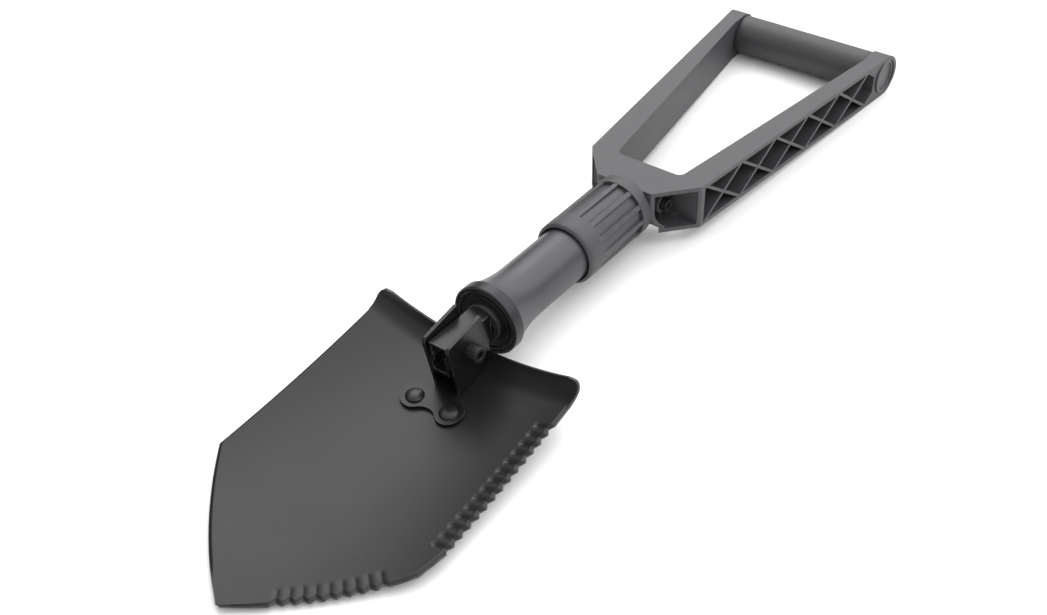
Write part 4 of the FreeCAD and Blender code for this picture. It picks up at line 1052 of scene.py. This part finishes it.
def soft_light(name, place, target, size, power):
    data = bpy.data.lights.new(name, "AREA")
    data.shape = "RECTANGLE"
    data.size = size[0]
    data.size_y = size[1]
    data.energy = power
    light = bpy.data.objects.new(name, data)
    bpy.context.scene.collection.objects.link(light)
    light.location = place
    light.rotation_euler = (Vector(target) - Vector(place)).to_track_quat("-Z", "Y").to_euler()


def build_sky():
    """Studio surroundings: a broad soft light overhead and behind the shovel, darker to the left,
    towards the viewer and near the horizon."""
    world = bpy.data.worlds.new("studio")
    bpy.context.scene.world = world
    world.use_nodes = True
    tree = world.node_tree
    direction = tree.nodes.new("ShaderNodeTexCoord")
    split = tree.nodes.new("ShaderNodeSeparateXYZ")
    tree.links.new(direction.outputs["Generated"], split.inputs[0])
    strength = None
    for axis, start, stop, low, high in SKY_FALL:
        fall = tree.nodes.new("ShaderNodeMapRange")
        fall.interpolation_type = "SMOOTHSTEP"
        for socket, value in (("From Min", start), ("From Max", stop), ("To Min", low), ("To Max", high)):
            fall.inputs[socket].default_value = value
        tree.links.new(split.outputs[axis], fall.inputs["Value"])
        if strength is None:
            strength = fall.outputs[0]
        else:
            product = tree.nodes.new("ShaderNodeMath")
            product.operation = "MULTIPLY"
            tree.links.new(strength, product.inputs[0])
            tree.links.new(fall.outputs[0], product.inputs[1])
            strength = product.outputs[0]
    backdrop = tree.nodes["Background"]
    backdrop.inputs["Color"].default_value = (1.0, 1.0, 1.0, 1.0)
    tree.links.new(strength, backdrop.inputs["Strength"])


def build_stage(look):
    """Pale floor, soft daylight-like surroundings and large softboxes."""
    reach = 6.0
    mesh = bpy.data.meshes.new("floor")
    mesh.from_pydata([(-reach, -reach, 0), (reach, -reach, 0), (reach, reach, 0), (-reach, reach, 0)],
                     [], [(0, 1, 2, 3)])
    floor = placed(mesh)
    mesh.materials.append(ground_surface(look.ground))
    build_sky()
    soft_light("key", (-0.7, 0.7, 1.3), (0.0, 0.0, 0.0), (1.1, 0.8), look.key_power)
    soft_light("fill", (0.9, -0.5, 1.0), (0.0, 0.0, 0.0), (0.8, 0.8), look.key_power * 0.25)
    bpy.context.scene.view_settings.view_transform = "Standard"
    build_camera()


# ---- Operators and panel -----------------------------------------------------------------------

class SHOVEL_OT_stage(bpy.types.Operator):
    """Floor, lights and camera"""
    bl_idname = "shovel.stage"
    bl_label = "Stage"

    def execute(self, context):
        build_stage(context.scene.shovel_stage)
        return {"FINISHED"}


class SHOVEL_OT_finishes(bpy.types.Operator):
    """Paint, anodising, nylon and bare metal"""
    bl_idname = "shovel.finishes"
    bl_label = "Finishes"

    def execute(self, context):
        make_materials(context.scene)
        return {"FINISHED"}


class SHOVEL_OT_blade(bpy.types.Operator):
    """Dished blade with its teeth and flutes"""
    bl_idname = "shovel.blade"
    bl_label = "Blade"

    def execute(self, context):
        build_blade(context.scene.shovel_blade)
        return {"FINISHED"}


class SHOVEL_OT_bracket(bpy.types.Operator):
    """Pivot bracket, its rivets, bolt and nut"""
    bl_idname = "shovel.bracket"
    bl_label = "Bracket"

    def execute(self, context):
        softened("blade_bracket", 0.45, "blade", "bracket_coat", segments=3)
        build_rivets()
        softened("pivot_bolt", 0.35, "blade", "fastener_black")
        softened("pivot_nut", 0.3, "blade", "fastener_black")
        softened("pivot_nut_washer", 0.1, "blade", "fastener_black", segments=1)
        return {"FINISHED"}


class SHOVEL_OT_shaft(bpy.types.Operator):
    """Inner tube, pivot block and hinge tongue"""
    bl_idname = "shovel.shaft"
    bl_label = "Shaft"

    def execute(self, context):
        softened("pivot_block", 0.5, "shaft", "block_coat", segments=3)
        softened("shaft_core", 0.2, "shaft", "core_steel")
        softened("hinge_tongue", 0.4, "shaft", "core_steel")
        for name, slot in (("pivot_bushing", "bushing_bronze"), ("pivot_friction_washers", "washer_nylon")):
            softened(name, 0.08, "shaft", slot, segments=1)
        return {"FINISHED"}


class SHOVEL_OT_nuts(bpy.types.Operator):
    """Flared front nut and ribbed rear collar"""
    bl_idname = "shovel.nuts"
    bl_label = "Locking nuts"

    def execute(self, context):
        look = context.scene.shovel_shaft
        build_flared_sleeve(look)
        build_thrust_disc()
        build_collar(look)
        softened("sleeve_insert", 0.2, "front_nut", "insert_metal", segments=1)
        softened("collar_insert", 0.2, "rear_nut", "insert_metal", segments=1)
        softened("collar_thrust_washer", 0.2, "rear_washer", "washer_nylon", segments=1)
        return {"FINISHED"}


class SHOVEL_OT_handle(bpy.types.Operator):
    """Moulded handle, grip bar, caps and hinge screws"""
    bl_idname = "shovel.handle"
    bl_label = "Handle"

    def execute(self, context):
        look = context.scene.shovel_handle
        softened("handle_frame", look.edge, "handle", "handle_nylon", segments=3, wear=0.5)
        build_grip()
        for side in ("right", "left"):
            softened("grip_cap_" + side, 0.5, "handle", "handle_nylon", wear=0.5)
            softened("hinge_screw_" + side, 0.35, "handle", "fastener_black")
        softened("hinge_barrel", 0.2, "handle", "core_steel", segments=1)
        return {"FINISHED"}


class SHOVEL_PT_panel(bpy.types.Panel):
    """Sizes, colours and the buttons that build each group"""
    bl_idname = "SHOVEL_PT_panel"
    bl_label = "Folding camp shovel"
    bl_space_type = "VIEW_3D"
    bl_region_type = "UI"
    bl_category = "Shovel"

    def draw(self, context):
        for group in ("shovel_blade", "shovel_shaft", "shovel_handle", "shovel_stage"):
            settings = getattr(context.scene, group)
            for item in settings.bl_rna.properties:
                if not item.is_readonly and item.identifier != "name":
                    self.layout.prop(settings, item.identifier)
        for operator in OPERATORS:
            self.layout.operator(operator.bl_idname)


OPERATORS = (SHOVEL_OT_finishes, SHOVEL_OT_stage, SHOVEL_OT_blade, SHOVEL_OT_bracket, SHOVEL_OT_shaft,
             SHOVEL_OT_nuts, SHOVEL_OT_handle)
GROUPS = {"shovel_blade": BladeLook, "shovel_shaft": ShaftLook, "shovel_handle": HandleLook,
          "shovel_stage": StageLook}
CLASSES = (*GROUPS.values(), *OPERATORS, SHOVEL_PT_panel)


def register():
    for item in CLASSES:
        bpy.utils.register_class(item)
    for name, group in GROUPS.items():
        setattr(bpy.types.Scene, name, PointerProperty(type=group))


def unregister():
    for name in GROUPS:
        delattr(bpy.types.Scene, name)
    for item in reversed(CLASSES):
        bpy.utils.unregister_class(item)


def main():
    register()
    for operator in (bpy.ops.shovel.finishes, bpy.ops.shovel.stage, bpy.ops.shovel.blade,
                     bpy.ops.shovel.bracket, bpy.ops.shovel.shaft, bpy.ops.shovel.nuts,
                     bpy.ops.shovel.handle):
        operator()


if __name__ == "__main__":
    main()
